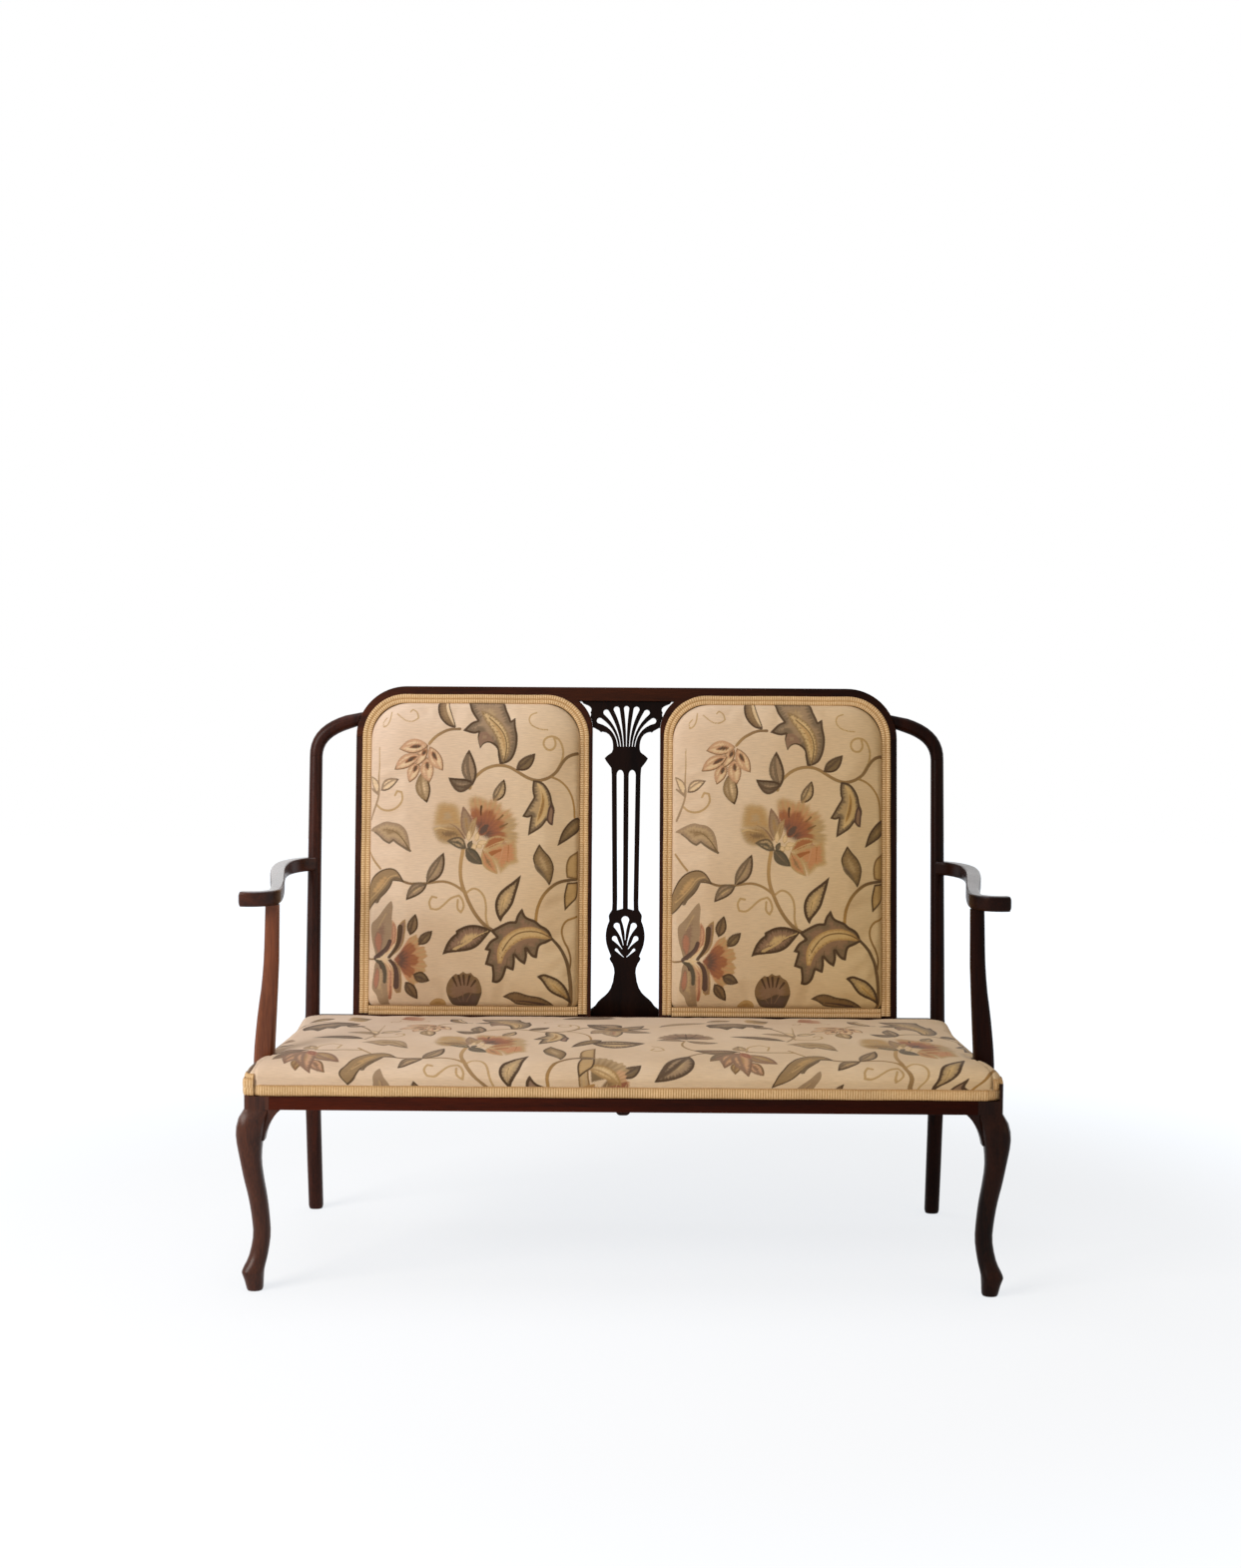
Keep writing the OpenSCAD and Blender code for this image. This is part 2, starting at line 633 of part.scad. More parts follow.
// Half outline from the foot up: the foot, the neck, the oval, the slim shaft, the cup and the fan
splat_foot = [[63.8, 0.5], [63.8, 14], [56, 20]];
splat_neck = concat([for (i = [1:7]) bezier3([56, 20], [44, 42], [24, 34], [20, 83], i / 7)],
    [for (i = [1:3]) bezier2([20, 83], [20, 96], [29, 107], i / 3)], [[29, 110], [26.6, 113]]);
splat_oval = concat([for (i = [1:9]) let (a = i / 5 - 1) [26.6 + 10.2 * (1 - a * a), 151 + 36 * a]],
    [[31.4, 189], [30.6, 192]]);
splat_shaft = [[25.1, 201], [24.5, 214], [27.4, 455], [28.6, 470]];
splat_cup = [[38.5, 483], [41, 488], [37, 492], [27.5, 499]];
splat_fan = concat([for (i = [0:6]) bezier3([25.4, 505], [24, 524], [31, 537], [45, 538.5], i / 6)],
    [[48.5, 537.5], [52, 540.5], [63.4, 547]]);
splat_side = concat(splat_foot, splat_neck, splat_oval, splat_shaft, splat_cup, splat_fan);
half_splat = [for (p = splat_side) fitted(p)];

// Slot with a round head, narrowing down a curve to its foot
function slot(foot, bend, head, thin, r) =
    let (n = 7, path = [for (i = [0:n]) bezier2(foot, bend, head, i / n)],
        way = [for (i = [0:n]) unit((bend - foot) * (1 - i / n) + (head - bend) * (i / n))],
        half = [for (i = [0:n]) thin + (r - thin) * pow(i / n, 2.4)],
        a = atan2(way[n][1], way[n][0]))
    concat([for (i = [0:n]) path[i] + half[i] * [-way[i][1], way[i][0]]],
        [for (i = [1:7]) head + r * [cos(a + 90 - i * 22.5), sin(a + 90 - i * 22.5)]],
        [for (i = [n:-1:0]) path[i] - half[i] * [-way[i][1], way[i][0]]]);

// Fan: heads of the seven slots from the middle out, with their feet and bends
fan_slots = [
    [[0, 510], [0, 545], [0, 582.7]],
    [[5.6, 510], [7, 545], [18.9, 581]],
    [[10.9, 510], [14, 545], [38.5, 575]],
    [[15.9, 510], [20, 545], [50.9, 559.3]]];
// Palmette in the oval: the same, with the radius of each head
leaf_slots = [
    [[0, 144], [0, 160], [0, 181.5], 7.4],
    [[3.6, 134], [6, 150], [16, 170.5], 5.9],
    [[5.6, 127], [10, 133], [20, 146.5], 5],
    [[2.6, 111.8], [7, 115], [16.6, 125.3], 2.7]];

// Scalloped inner side of the pierced spandrel, drawn outwards past the hoop that closes it
spandrel = [[100, 597], [86, 597], [82.4, 592], [77.5, 590], [72.6, 588], [68.6, 585],
    [66.8, 581.4], [67, 578], [68.6, 574.6], [67.5, 571.6], [67.8, 568.5], [69.5, 565], [75, 560]];

splat_head = [[-90, 546], [90, 546], [90, 596], [-90, 596]];

module splat_outline() {
    last = len(half_splat) - 1;
    polygon(concat(half_splat, [for (i = [last:-1:0]) [-half_splat[i][0], half_splat[i][1]]]));
    difference() {
        polygon([for (p = splat_head) fitted(p)]);
        for (s = SIDES) on(s) {
            translate([splat_gap / 2 + hoop_r, hoop_v]) circle(hoop_r + touch, $fn = 96);
            translate([foot_w, 0]) square([hoop_r, hoop_v]);
            polygon([for (p = spandrel) fitted(p)]);
        }
    }
}

// The half width of a slot at its foot, and the ends of the two long lights beside the middle stringer
slot_thin = 0.6;
light_top = fitted([18, 456]);
light_low = [fitted([15.4, 222]), fitted([15.8, 200]), fitted([0, 203])];
module splat_cuts() {
    in = stringer_w / 2;
    mid = (in + light_top[0]) / 2;
    for (s = SIDES) on(s) {
        for (f = fan_slots) let (r = fan_head_r * (f[2][0] == 0 ? 0.88 : 1))
            polygon(slot(fitted(f[0]), fitted(f[1]), fitted(f[2]), slot_thin, r));
        for (f = leaf_slots)
            polygon(slot(fitted(f[0]), fitted(f[1]), fitted(f[2]), slot_thin, f[3] * splat_fit[0]));
        polygon(concat([[in, light_low[2][1]], [in, light_top[1]]],
            [for (i = [1:7]) let (a = i * 22.5)
                [mid - (mid - in) * cos(a), light_top[1] + 10 * splat_fit[1] * sin(a)]],
            [light_top, light_low[0], light_low[1]]));
    }
}

module splat() {
    color(dark_wood) placed() lean() board((frame_t - splat_t) / 2, splat_t) difference() {
        splat_outline();
        splat_cuts();
    }
}

// Arm: stations from the post to the front end, as shares of the depth from the support
// to the post behind and plain lengths in front: [t, out from the post's middle, y, width]
arm_reach = post_y(arm_rear_z) - support_y;
neck_x = post_x + 2;
arm_shape = [
    [0.0, post_x + 0.043 * arm_bow, support_y + 0.985 * arm_reach, arm_w],
    [1.0, post_x + 0.478 * arm_bow, support_y + 0.955 * arm_reach, arm_w],
    [2.0, post_x + 0.815 * arm_bow, support_y + 0.895 * arm_reach, arm_w],
    [3.0, post_x + arm_bow, support_y + 0.815 * arm_reach, arm_w],
    [4.0, post_x + 0.978 * arm_bow, support_y + 0.69 * arm_reach, arm_w],
    [5.0, post_x + 0.739 * arm_bow, support_y + 0.51 * arm_reach, arm_w],
    [6.0, post_x + 0.413 * arm_bow, support_y + 0.32 * arm_reach, lerp(arm_w, arm_neck_w, 0.4)],
    [7.0, post_x + 0.152 * arm_bow, support_y + 0.15 * arm_reach, lerp(arm_w, arm_neck_w, 0.8)],
    [8.0, neck_x, support_y + 0.485 * arm_lead, arm_neck_w],
    [9.0, neck_x + 0.02 * arm_roll, support_y - 0.121 * arm_lead, arm_neck_w],
    [10.0, neck_x + 0.157 * arm_roll, support_y - 0.606 * arm_lead, arm_neck_w + 1],
    [11.0, neck_x + 0.392 * arm_roll, support_y - 0.909 * arm_lead, arm_neck_w + 2],
    [12.0, neck_x + 0.706 * arm_roll, support_y - arm_lead, arm_neck_w + 2],
    [12.8, neck_x + 0.941 * arm_roll, support_y - 0.939 * arm_lead, arm_neck_w + 1],
    [13.0, neck_x + arm_roll, support_y - 0.924 * arm_lead, arm_neck_w - 7]];
function arm_z(y) = arm_front_z + (arm_rear_z - arm_front_z) * max(0, (y - support_y) / arm_reach);
function section(w, t, r) = [for (q = [[1, 1], [-1, 1], [-1, -1], [1, -1]], i = [0:3])
    let (a = atan2(q[1], q[0]) - 45 + i * 30)
    [q[0] * (w / 2 - r) + r * cos(a), q[1] * (t / 2 - r) + r * sin(a)]];
function arm_ring(t) =
    let (x = curve(t, arm_shape, 1), y = curve(t, arm_shape, 2), w = curve(t, arm_shape, 3),
        h = 0.02, t0 = max(0, t - h), t1 = min(13, t + h),
        d = unit([for (c = [1, 2]) curve(t1, arm_shape, c) - curve(t0, arm_shape, c)]),
        thick = t > 12.9 ? arm_t - 7 : arm_t)
    [for (q = section(w, thick, min(4.5, w / 3)))
        [x + q[0] * d[1], y - q[0] * d[0], arm_z(y) - arm_t / 2 + q[1]]];
arm_steps = concat([for (i = [0:24]) i * 0.5], [12.4, 12.8, 13]);

module arm(side) {
    color(dark_wood) placed() on(side) difference() {
        skin([for (t = arm_steps) arm_ring(t)]);
        skin([for (v = [0, joint_v]) let (r = lerp(post_r, post_top_r, v / joint_v) + touch / 2)
            round_ring(post_x, frame_t / 2, v, r)]);
    }
}

// Arm support. Stations up from the rail: [share of the height, outer x, inner x, depth, squareness],
// measured out from a line that leans from the rail's face in to the post's middle
support_top_z = arm_front_z - arm_t - 0.1;
support_foot_z = rail_z + 8;
support_lap = 14;
support_shape = [
    [0.00, 4.5, -29, support_d, 5],
    [0.12, 7.7, -26.3, support_d, 4.5],
    [0.25, 8.8, -24.2, support_d - 1, 4],
    [0.38, 8.8, -22.2, support_d - 2, 3.6],
    [0.52, 7.6, -19.9, support_d - 4, 3.2],
    [0.68, 8.6, -16.9, support_d - 6, 3.2],
    [0.84, 12, -12.5, support_d - 7, 3.2],
    [1.00, 15.5, -8, support_d - 8, 3.4]];
function support_ring(t) =
    let (a = curve(t, support_shape, 1), b = curve(t, support_shape, 2), d = curve(t, support_shape, 3),
        line = lerp(side_x(support_y), post_x, t))
    [for (i = [0:19]) let (g = i * 18, q = squared(g, curve(t, support_shape, 4)))
        [line + (a + b) / 2 + q * cos(g) * (a - b) / 2, support_y + q * sin(g) * d / 2,
            lerp(rail_top, support_top_z, t)]];

module arm_support(side) {
    foot = [for (p = support_ring(0)) [p[0], p[1], gimp_z]];
    color(side == LEFT ? brown_wood : dark_wood) placed() on(side) difference() {
        union() {
            difference() {
                skin(concat([foot], [for (i = [0:12]) support_ring(i / 12)]));
                translate([side_x(support_y) - support_lap - seat_d, 0, rail_z])
                    cube([seat_d, seat_d, rail_h]);
            }
            translate([side_x(support_y) - support_lap, support_y - support_d / 2 + touch, support_foot_z])
                cube([support_lap, support_d - 2 * touch, gimp_z - support_foot_z + 2]);
        }
        support_screw_places() translate([0, 0, -1]) cylinder(h = support_lap - 2, r = screw_r + 0.1);
    }
}
module support_screw_places() {
    for (d = [-7, 7]) translate([side_x(support_y) - support_lap, support_y + d, rail_z + rail_h / 2 + d / 3])
        rotate([0, 90, 0]) children();
}

module support_screws() {
    color(steel) placed() for (s = SIDES) on(s) support_screw_places() {
        translate([0, 0, support_lap - rail_t]) cylinder(h = screw_seat, r = screw_head_r - touch);
        translate([0, 0, support_lap - rail_t + 1]) cylinder(h = rail_t - 6, r = screw_r);
    }
}

// Notches that the seat's layers leave round the arm supports, in plan and as solids
notch_in = 40;
module support_notches_plan(clear) {
    for (s = SIDES) on(s)
        translate([side_x(support_y) - notch_in - clear, support_y - support_d / 2 - clear])
            square([2 * notch_in, support_d + 2 * clear]);
}
module support_notches(clear) {
    translate([0, 0, rail_z]) linear_extrude(seat_d) support_notches_plan(clear);
}

// Webbing: strips from rail to rail, woven flat
module strips(length, room, count, w) {
    pitch = room / count;
    for (i = [0:count - 1]) translate([-length / 2, (i + 0.5) * pitch - w / 2]) square([length, w]);
}

strips_along = 6;
strips_across = 15;
module seat_webbing() {
    color(jute) placed() translate([0, 0, rail_top]) linear_extrude(web_t) difference() {
        intersection() {
            polygon(seat_plan(8, 20, 6));
            union() {
                translate([0, rail_t]) strips(seat_w, seat_end_y - 2 * rail_t, strips_along, web_w);
                rotate(-90) translate([-seat_d / 2, -half_w])
                    strips(seat_d * 2, seat_w, strips_across, web_w);
            }
        }
        support_notches_plan(1);
    }
}

module seat_hessian() {
    color(hessian) placed() translate([0, 0, web_top]) linear_extrude(hessian_t) difference() {
        polygon(seat_plan(5, 22, 4));
        support_notches_plan(0.8);
    }
}

// Stuffed seat: how high the cover's outer face lies at a distance in from its edge
seat_edge_z = seat_z - 6;
crown_z = seat_z + seat_crown;
seat_rings = [[0, 0], [-2.2, 0.24], [-2, 0.5], [1.6, 0.76], [8, 0.94],
    [20, 1.05], [46, 1.28], [90, 1.53], [150, 1.75]];
function seat_height(share) = share <= 1
    ? lerp(pad_z + 4, seat_edge_z, share)
    : lerp(seat_edge_z, crown_z, (share - 1) / 0.75);
function lifted(plan, z) = [for (p = plan) [p[0], p[1], z]];
function seat_ring(step, thin) =
    let (in = step[0] + thin, r = step[1] < 0.3 ? cover_corner_r : 15 + in * 0.5)
    lifted(seat_plan(seat_rebate - cloth_t + in, r, 8 + in * 0.4), seat_height(step[1]) - thin);

module seat_pad() {
    inner = [for (s = seat_rings) seat_ring(s, cloth_t + touch)];
    color(hessian) placed() difference() {
        cushion(concat([lifted(seat_plan(seat_rebate + touch, cover_corner_r, 8), pad_z)], inner));
        support_notches(0.6);
    }
}

module seat_cover() {
    skirt = seat_rebate - cloth_t;
    outer = [for (s = seat_rings) seat_ring(s, 0)];
    inner = [for (i = [len(seat_rings) - 1:-1:0]) seat_ring(seat_rings[i], cloth_t)];
    span = 2 * (post_x - post_block - 2);
    tail_y = rear_rail_y + rail_t - seat_rebate;
    color(cloth) placed() {
        difference() {
            cushion(concat(inner,
                [lifted(seat_plan(seat_rebate, cover_corner_r, 8), pad_z),
                    lifted(seat_plan(seat_rebate, cover_corner_r, 8), gimp_z + 1),
                    lifted(seat_plan(skirt, cover_corner_r, 8), gimp_z + 1),
                    lifted(seat_plan(skirt, cover_corner_r, 8), pad_z)], outer));
            support_notches(0.6);
            translate([-seat_wide / 2, seat_end_y - 8, rail_z])
                cube([seat_wide, 40, rail_h + web_t + hessian_t]);
        }
        translate([-span / 2, seat_end_y - seat_rebate + touch, pad_z])
            cube([span, tail_y + cloth_t - seat_end_y + seat_rebate - touch, cloth_t]);
        translate([-span / 2, tail_y, gimp_z + 1]) cube([span, cloth_t, pad_z - gimp_z - 1 + eps]);
    }
}

module seat_gimp() {
    out = seat_rebate - cloth_t - gimp_t;
    color(braid) placed() translate([0, 0, gimp_z + touch]) linear_extrude(seat_gimp_w) difference() {
        polygon(seat_plan(out, cover_corner_r + gimp_t, 8, 8));
        polygon(seat_plan(out + gimp_t, cover_corner_r, 8, 8));
        translate([-seat_wide / 2, seat_end_y - 10]) square([seat_wide, 30]);
        support_notches_plan(0.6);
    }
}

module rear_gimp() {
    span = 2 * (post_x - post_block - 2);
    color(braid) placed() translate([-span / 2, rear_rail_y + rail_t - seat_rebate + cloth_t, gimp_z + touch])
        cube([span, gimp_t, seat_gimp_w]);
}

// Layers of a back panel, from the frame's rebate forwards
back_web_w = front_rebate - web_t;
back_hessian_w = back_web_w - hessian_t;
back_cloth_w = back_hessian_w - cloth_t;
panel_mid = (panel_in + panel_out) / 2;
back_strips_along = 6;
back_strips_up = 4;
module back_webbing(side) {
    color(jute) placed() lean() on(side) board(back_web_w, web_t) intersection() {
        panel_outline(6);
        union() {
            translate([panel_mid, panel_low + tack_w])
                strips(frame_w, panel_top - panel_low - 2 * tack_w, back_strips_along, web_w);
            translate([panel_in + tack_w, 0]) rotate(90) mirror([0, 1]) translate([back_h / 2, 0])
                strips(back_h, panel_out - panel_in - 2 * tack_w, back_strips_up, web_w);
        }
    }
}

module back_hessian(side) {
    color(hessian) placed() lean() on(side) board(back_hessian_w, hessian_t) panel_outline(3);
}

// Plan of a panel's cushion inset from the gimp's outer edge
panel_corners = [[panel_in, panel_low], [panel_out, panel_low],
    [panel_out, panel_top], [panel_in, panel_top]];
function panel_plan(inset) =
    let (top_r = max(panel_r - inset, 24), low_r = 4 + inset * 0.15)
    loop(panel_corners, inset, [low_r, low_r, top_r, top_r], 5, [4, 6, 4, 6]);
panel_rings = [[0, 0.08], [1, 0.22], [5, 0.42], [13, 0.62], [28, 0.8], [55, 0.92], [100, 0.985], [150, 1]];
function panel_ring(step, thin) = [for (p = panel_plan(back_gimp_w + 0.3 + step[0] + thin))
    leaning(p[0], -panel_crown * step[1] + thin, p[1])];
function panel_flat(inset, w) = [for (p = panel_plan(inset)) leaning(p[0], w, p[1])];

module back_pad(side) {
    inner = [for (s = panel_rings) panel_ring(s, cloth_t + touch)];
    color(hessian) placed() on(side)
        cushion(concat([panel_flat(back_gimp_w + 0.3 + cloth_t + touch, back_hessian_w)], inner));
}

module back_cover(side) {
    outer = [for (s = panel_rings) panel_ring(s, 0)];
    inner = [for (i = [len(panel_rings) - 1:-1:0]) panel_ring(panel_rings[i], cloth_t)];
    color(cloth) placed() on(side)
        cushion(concat(inner,
            [panel_flat(back_gimp_w + 0.3 + cloth_t, back_hessian_w), panel_flat(0.8, back_hessian_w),
                panel_flat(0.8, back_cloth_w), panel_flat(back_gimp_w + 0.3, back_cloth_w)], outer));
}

module back_gimp(side) {
    color(braid) placed() lean() on(side) board(back_cloth_w - gimp_t, gimp_t) difference() {
        panel_outline(touch);
        panel_outline(back_gimp_w);
    }
}

module outside_back(side) {
    color(lining) placed() lean() on(side) board(frame_t - rear_rebate, cloth_t) panel_outline(0.8);
}

module outside_gimp(side) {
    color(braid) placed() lean() on(side) board(frame_t - rear_rebate + cloth_t, gimp_t) difference() {
        panel_outline(touch);
        panel_outline(back_gimp_w);
    }
}

front_leg(LEFT);  // front_leg_left
front_leg(RIGHT);  // front_leg_right
front_ear(LEFT);  // front_ear_left
front_ear(RIGHT);  // front_ear_right
side_ear(LEFT);  // side_ear_left
side_ear(RIGHT);  // side_ear_right
front_rail();
side_rail(LEFT);  // side_rail_left
side_rail(RIGHT);  // side_rail_right
rear_rail();
centre_rail();
front_corner_blocks();
rear_corner_blocks();
corner_block_screws();
rear_post(LEFT);  // rear_post_left
rear_post(RIGHT);  // rear_post_right
shoulder(LEFT);  // shoulder_left
shoulder(RIGHT);  // shoulder_right
crest_rail();
outer_stile(LEFT);  // outer_stile_left
outer_stile(RIGHT);  // outer_stile_right
inner_stile(LEFT);  // inner_stile_left
inner_stile(RIGHT);  // inner_stile_right
panel_rail(LEFT);  // panel_rail_left
panel_rail(RIGHT);  // panel_rail_right
back_lower_rail();
frame_dowels();
splat();
arm(LEFT);  // arm_left
arm(RIGHT);  // arm_right
arm_support(LEFT);  // arm_support_left
arm_support(RIGHT);  // arm_support_right
support_screws();
seat_webbing();
seat_hessian();
seat_pad();
seat_cover();
seat_gimp();
rear_gimp();
back_webbing(LEFT);  // back_webbing_left
back_webbing(RIGHT);  // back_webbing_right
back_hessian(LEFT);  // back_hessian_left
back_hessian(RIGHT);  // back_hessian_right
back_pad(LEFT);  // back_pad_left
back_pad(RIGHT);  // back_pad_right
back_cover(LEFT);  // back_cover_left
back_cover(RIGHT);  // back_cover_right
back_gimp(LEFT);  // back_gimp_left
back_gimp(RIGHT);  // back_gimp_right
outside_back(LEFT);  // outside_back_left
outside_back(RIGHT);  // outside_back_right
outside_gimp(LEFT);  // outside_gimp_left
outside_gimp(RIGHT);  // outside_gimp_right
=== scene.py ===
"""Two-seat salon settee: polished mahogany show-wood, two stuffed back panels and a stuffed seat.

The pieces follow the order in which the settee is put together: the seat frame and its legs, the
back frame with its splat, the arms, the webbing and hessian, then the cushions and their braid.
"""

import math

import bmesh
import bpy
import numpy as np
from mathutils import Matrix, Vector


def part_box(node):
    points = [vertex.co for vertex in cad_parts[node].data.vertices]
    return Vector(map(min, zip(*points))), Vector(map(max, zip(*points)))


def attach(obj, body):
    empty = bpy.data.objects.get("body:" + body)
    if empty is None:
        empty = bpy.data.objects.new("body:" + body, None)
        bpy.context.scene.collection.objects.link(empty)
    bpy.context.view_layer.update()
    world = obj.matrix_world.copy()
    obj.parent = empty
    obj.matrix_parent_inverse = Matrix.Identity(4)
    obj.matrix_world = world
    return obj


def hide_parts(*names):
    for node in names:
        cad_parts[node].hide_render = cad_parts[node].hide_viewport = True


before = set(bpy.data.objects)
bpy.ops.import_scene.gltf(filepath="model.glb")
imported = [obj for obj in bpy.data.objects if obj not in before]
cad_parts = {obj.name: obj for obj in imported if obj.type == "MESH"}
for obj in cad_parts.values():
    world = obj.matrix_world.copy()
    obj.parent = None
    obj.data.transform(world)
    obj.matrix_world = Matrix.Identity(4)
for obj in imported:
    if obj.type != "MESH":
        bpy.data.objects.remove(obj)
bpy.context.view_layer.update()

# Photographer's view. The camera stands three and a half metres in front of the settee at chest
# height, looking slightly down.
eye = (0.0135, -3.4938, 1.0133)
pan, tilt, roll = 0.37, 87, 0.34
camera_data = bpy.data.cameras.new("camera")
camera_data.lens = 45.44
camera_data.sensor_width = 36
camera = bpy.data.objects.new("camera", camera_data)
bpy.context.scene.collection.objects.link(camera)
view = Matrix.Translation(eye)
for degrees, axis in ((pan, "Z"), (tilt, "X"), (roll, "Z")):
    view = view @ Matrix.Rotation(math.radians(degrees), 4, axis)
camera.matrix_world = view
bpy.context.scene.camera = camera
bpy.context.scene.view_settings.view_transform = "Standard"

# Studio. A white paper floor and background, one broad soft window light from the upper left and
# a weaker warm one from the right, as in the photograph. The room behind the camera is dim and warm.


def linear(hex_colour):
    """Linear RGBA of an sRGB hex colour."""
    parts = [int(hex_colour[i : i + 2], 16) / 255 for i in (1, 3, 5)]
    return [c / 12.92 if c <= 0.04045 else ((c + 0.055) / 1.055) ** 2.4 for c in parts] + [1.0]


def add_node(tree, kind, settings=None, **links):
    """Adds a shader node. A link is a value, a socket or a node, whose first output it takes, for the
    input of that name or number."""
    made = tree.nodes.new("ShaderNode" + kind)
    for name, value in (settings or {}).items():
        setattr(made, name, value)
    for name, value in links.items():
        socket = made.inputs[int(name[1:]) if name[1:].isdigit() else name.replace("_", " ")]
        if isinstance(value, bpy.types.Node):
            value = value.outputs[0]
        if isinstance(value, bpy.types.NodeSocket):
            tree.links.new(value, socket)
        else:
            socket.default_value = value
    return made


rgba_mix = {"data_type": "RGBA"}
tint_mix = {"data_type": "RGBA", "blend_type": "MULTIPLY"}
soft_step = {"interpolation_type": "SMOOTHSTEP"}
multiply, multiply_add = {"operation": "MULTIPLY"}, {"operation": "MULTIPLY_ADD"}
larger = {"operation": "MAXIMUM"}


def two_tones(ramp, low, dark, high, light):
    """Sets a colour ramp's two stops, each a place and a hex colour."""
    for stop, place, colour in zip(ramp.color_ramp.elements, (low, high), (dark, light)):
        stop.position = place
        stop.color = linear(colour)


def new_material(name):
    """A material with only its output node, as (material, tree, output)."""
    material = bpy.data.materials.new(name)
    material.use_nodes = True
    tree = material.node_tree
    tree.nodes.clear()
    return material, tree, tree.nodes.new("ShaderNodeOutputMaterial")


def camera_sees(tree):
    """1 where the camera looks straight, by reflection or through glass, else 0."""
    path = add_node(tree, "LightPath").outputs
    seen = add_node(tree, "Math", larger, i0=path["Is Camera Ray"], i1=path["Is Glossy Ray"])
    return add_node(tree, "Math", larger, i0=seen, i1=path["Is Transmission Ray"]).outputs[0]


room_light = 0.34
world = bpy.data.worlds.new("white_studio")
bpy.context.scene.world = world
world.use_nodes = True
world_tree = world.node_tree
world_tree.nodes.clear()
seen = camera_sees(world_tree)
strength = add_node(world_tree, "MapRange", Value=seen, To_Min=room_light, To_Max=1.0)
tint = add_node(world_tree, "Mix", rgba_mix, i0=seen, i6=linear("#ffe3b8"), i7=(1, 1, 1, 1))
sky = add_node(world_tree, "Background", Color=tint.outputs[2], Strength=strength)
world_out = world_tree.nodes.new("ShaderNodeOutputWorld")
world_tree.links.new(sky.outputs[0], world_out.inputs[0])


def area_light(name, place, target, size, power, colour):
    """A soft rectangular lamp at a place, pointing at a target."""
    lamp = bpy.data.lights.new(name, "AREA")
    lamp.shape = "RECTANGLE"
    lamp.size, lamp.size_y = size
    lamp.energy = power
    lamp.color = linear(colour)[:3]
    lit = bpy.data.objects.new(name, lamp)
    bpy.context.scene.collection.objects.link(lit)
    aim = (Vector(target) - Vector(place)).to_track_quat("-Z", "Y")
    lit.matrix_world = Matrix.Translation(place) @ aim.to_matrix().to_4x4()


area_light("window_left", (-2.9, -2.3, 2.2), (-0.1, 0, 0.5), (1.9, 1.7), 95, "#fff8f2")
area_light("sky_above", (-0.5, 0.1, 2.4), (-0.05, -0.05, 0.35), (1.6, 1.2), 12, "#eaf0ff")
area_light("warm_right", (3.0, -2.4, 1.2), (0.2, 0, 0.5), (1.2, 1.2), 6, "#ffd9a8")


def piece_from(bm, name, material=None):
    """A linked object from a finished bmesh, which is freed."""
    mesh = bpy.data.meshes.new(name)
    bm.to_mesh(mesh)
    bm.free()
    if material:
        mesh.materials.append(material)
    piece = bpy.data.objects.new(name, mesh)
    bpy.context.scene.collection.objects.link(piece)
    return piece


# The floor is matt white paper
floor_material, tree, output = new_material("white_paper")
paper = add_node(tree, "BsdfDiffuse", Color=linear("#f6f5f3"))
glow = add_node(tree, "Emission", Color=linear("#f4f9ff"), Strength=1.2)
floor_place = add_node(tree, "TexCoord").outputs["Object"]
away = add_node(tree, "VectorMath", {"operation": "LENGTH"}, i0=floor_place)
# The paper shows the settee's shadow near it and is plain white further off
plain = add_node(
    tree, "MapRange", soft_step,
    Value=away.outputs["Value"], From_Min=0.9, From_Max=2.4, To_Min=0.68, To_Max=1.0,
)
share = add_node(tree, "Math", multiply, i0=camera_sees(tree), i1=plain)
mixed = add_node(tree, "MixShader", i0=share, i1=paper, i2=glow)
# Seen from beneath it is clear, so that the underside shows too
under = add_node(tree, "NewGeometry").outputs["Backfacing"]
clear = add_node(tree, "BsdfTransparent")
one_sided = add_node(tree, "MixShader", i0=under, i1=mixed, i2=clear)
tree.links.new(one_sided.outputs[0], output.inputs[0])
floor_half = 9
bm = bmesh.new()
bmesh.ops.create_grid(bm, x_segments=1, y_segments=1, size=floor_half)
floor = piece_from(bm, "floor", floor_material)

# Show-wood. Mahogany stained nearly black-red and french polished: straight grain runs along each
# member and the film is glossy. Members are glued together.


left_to_right = {"From_Min": -0.7, "From_Max": 0.7}


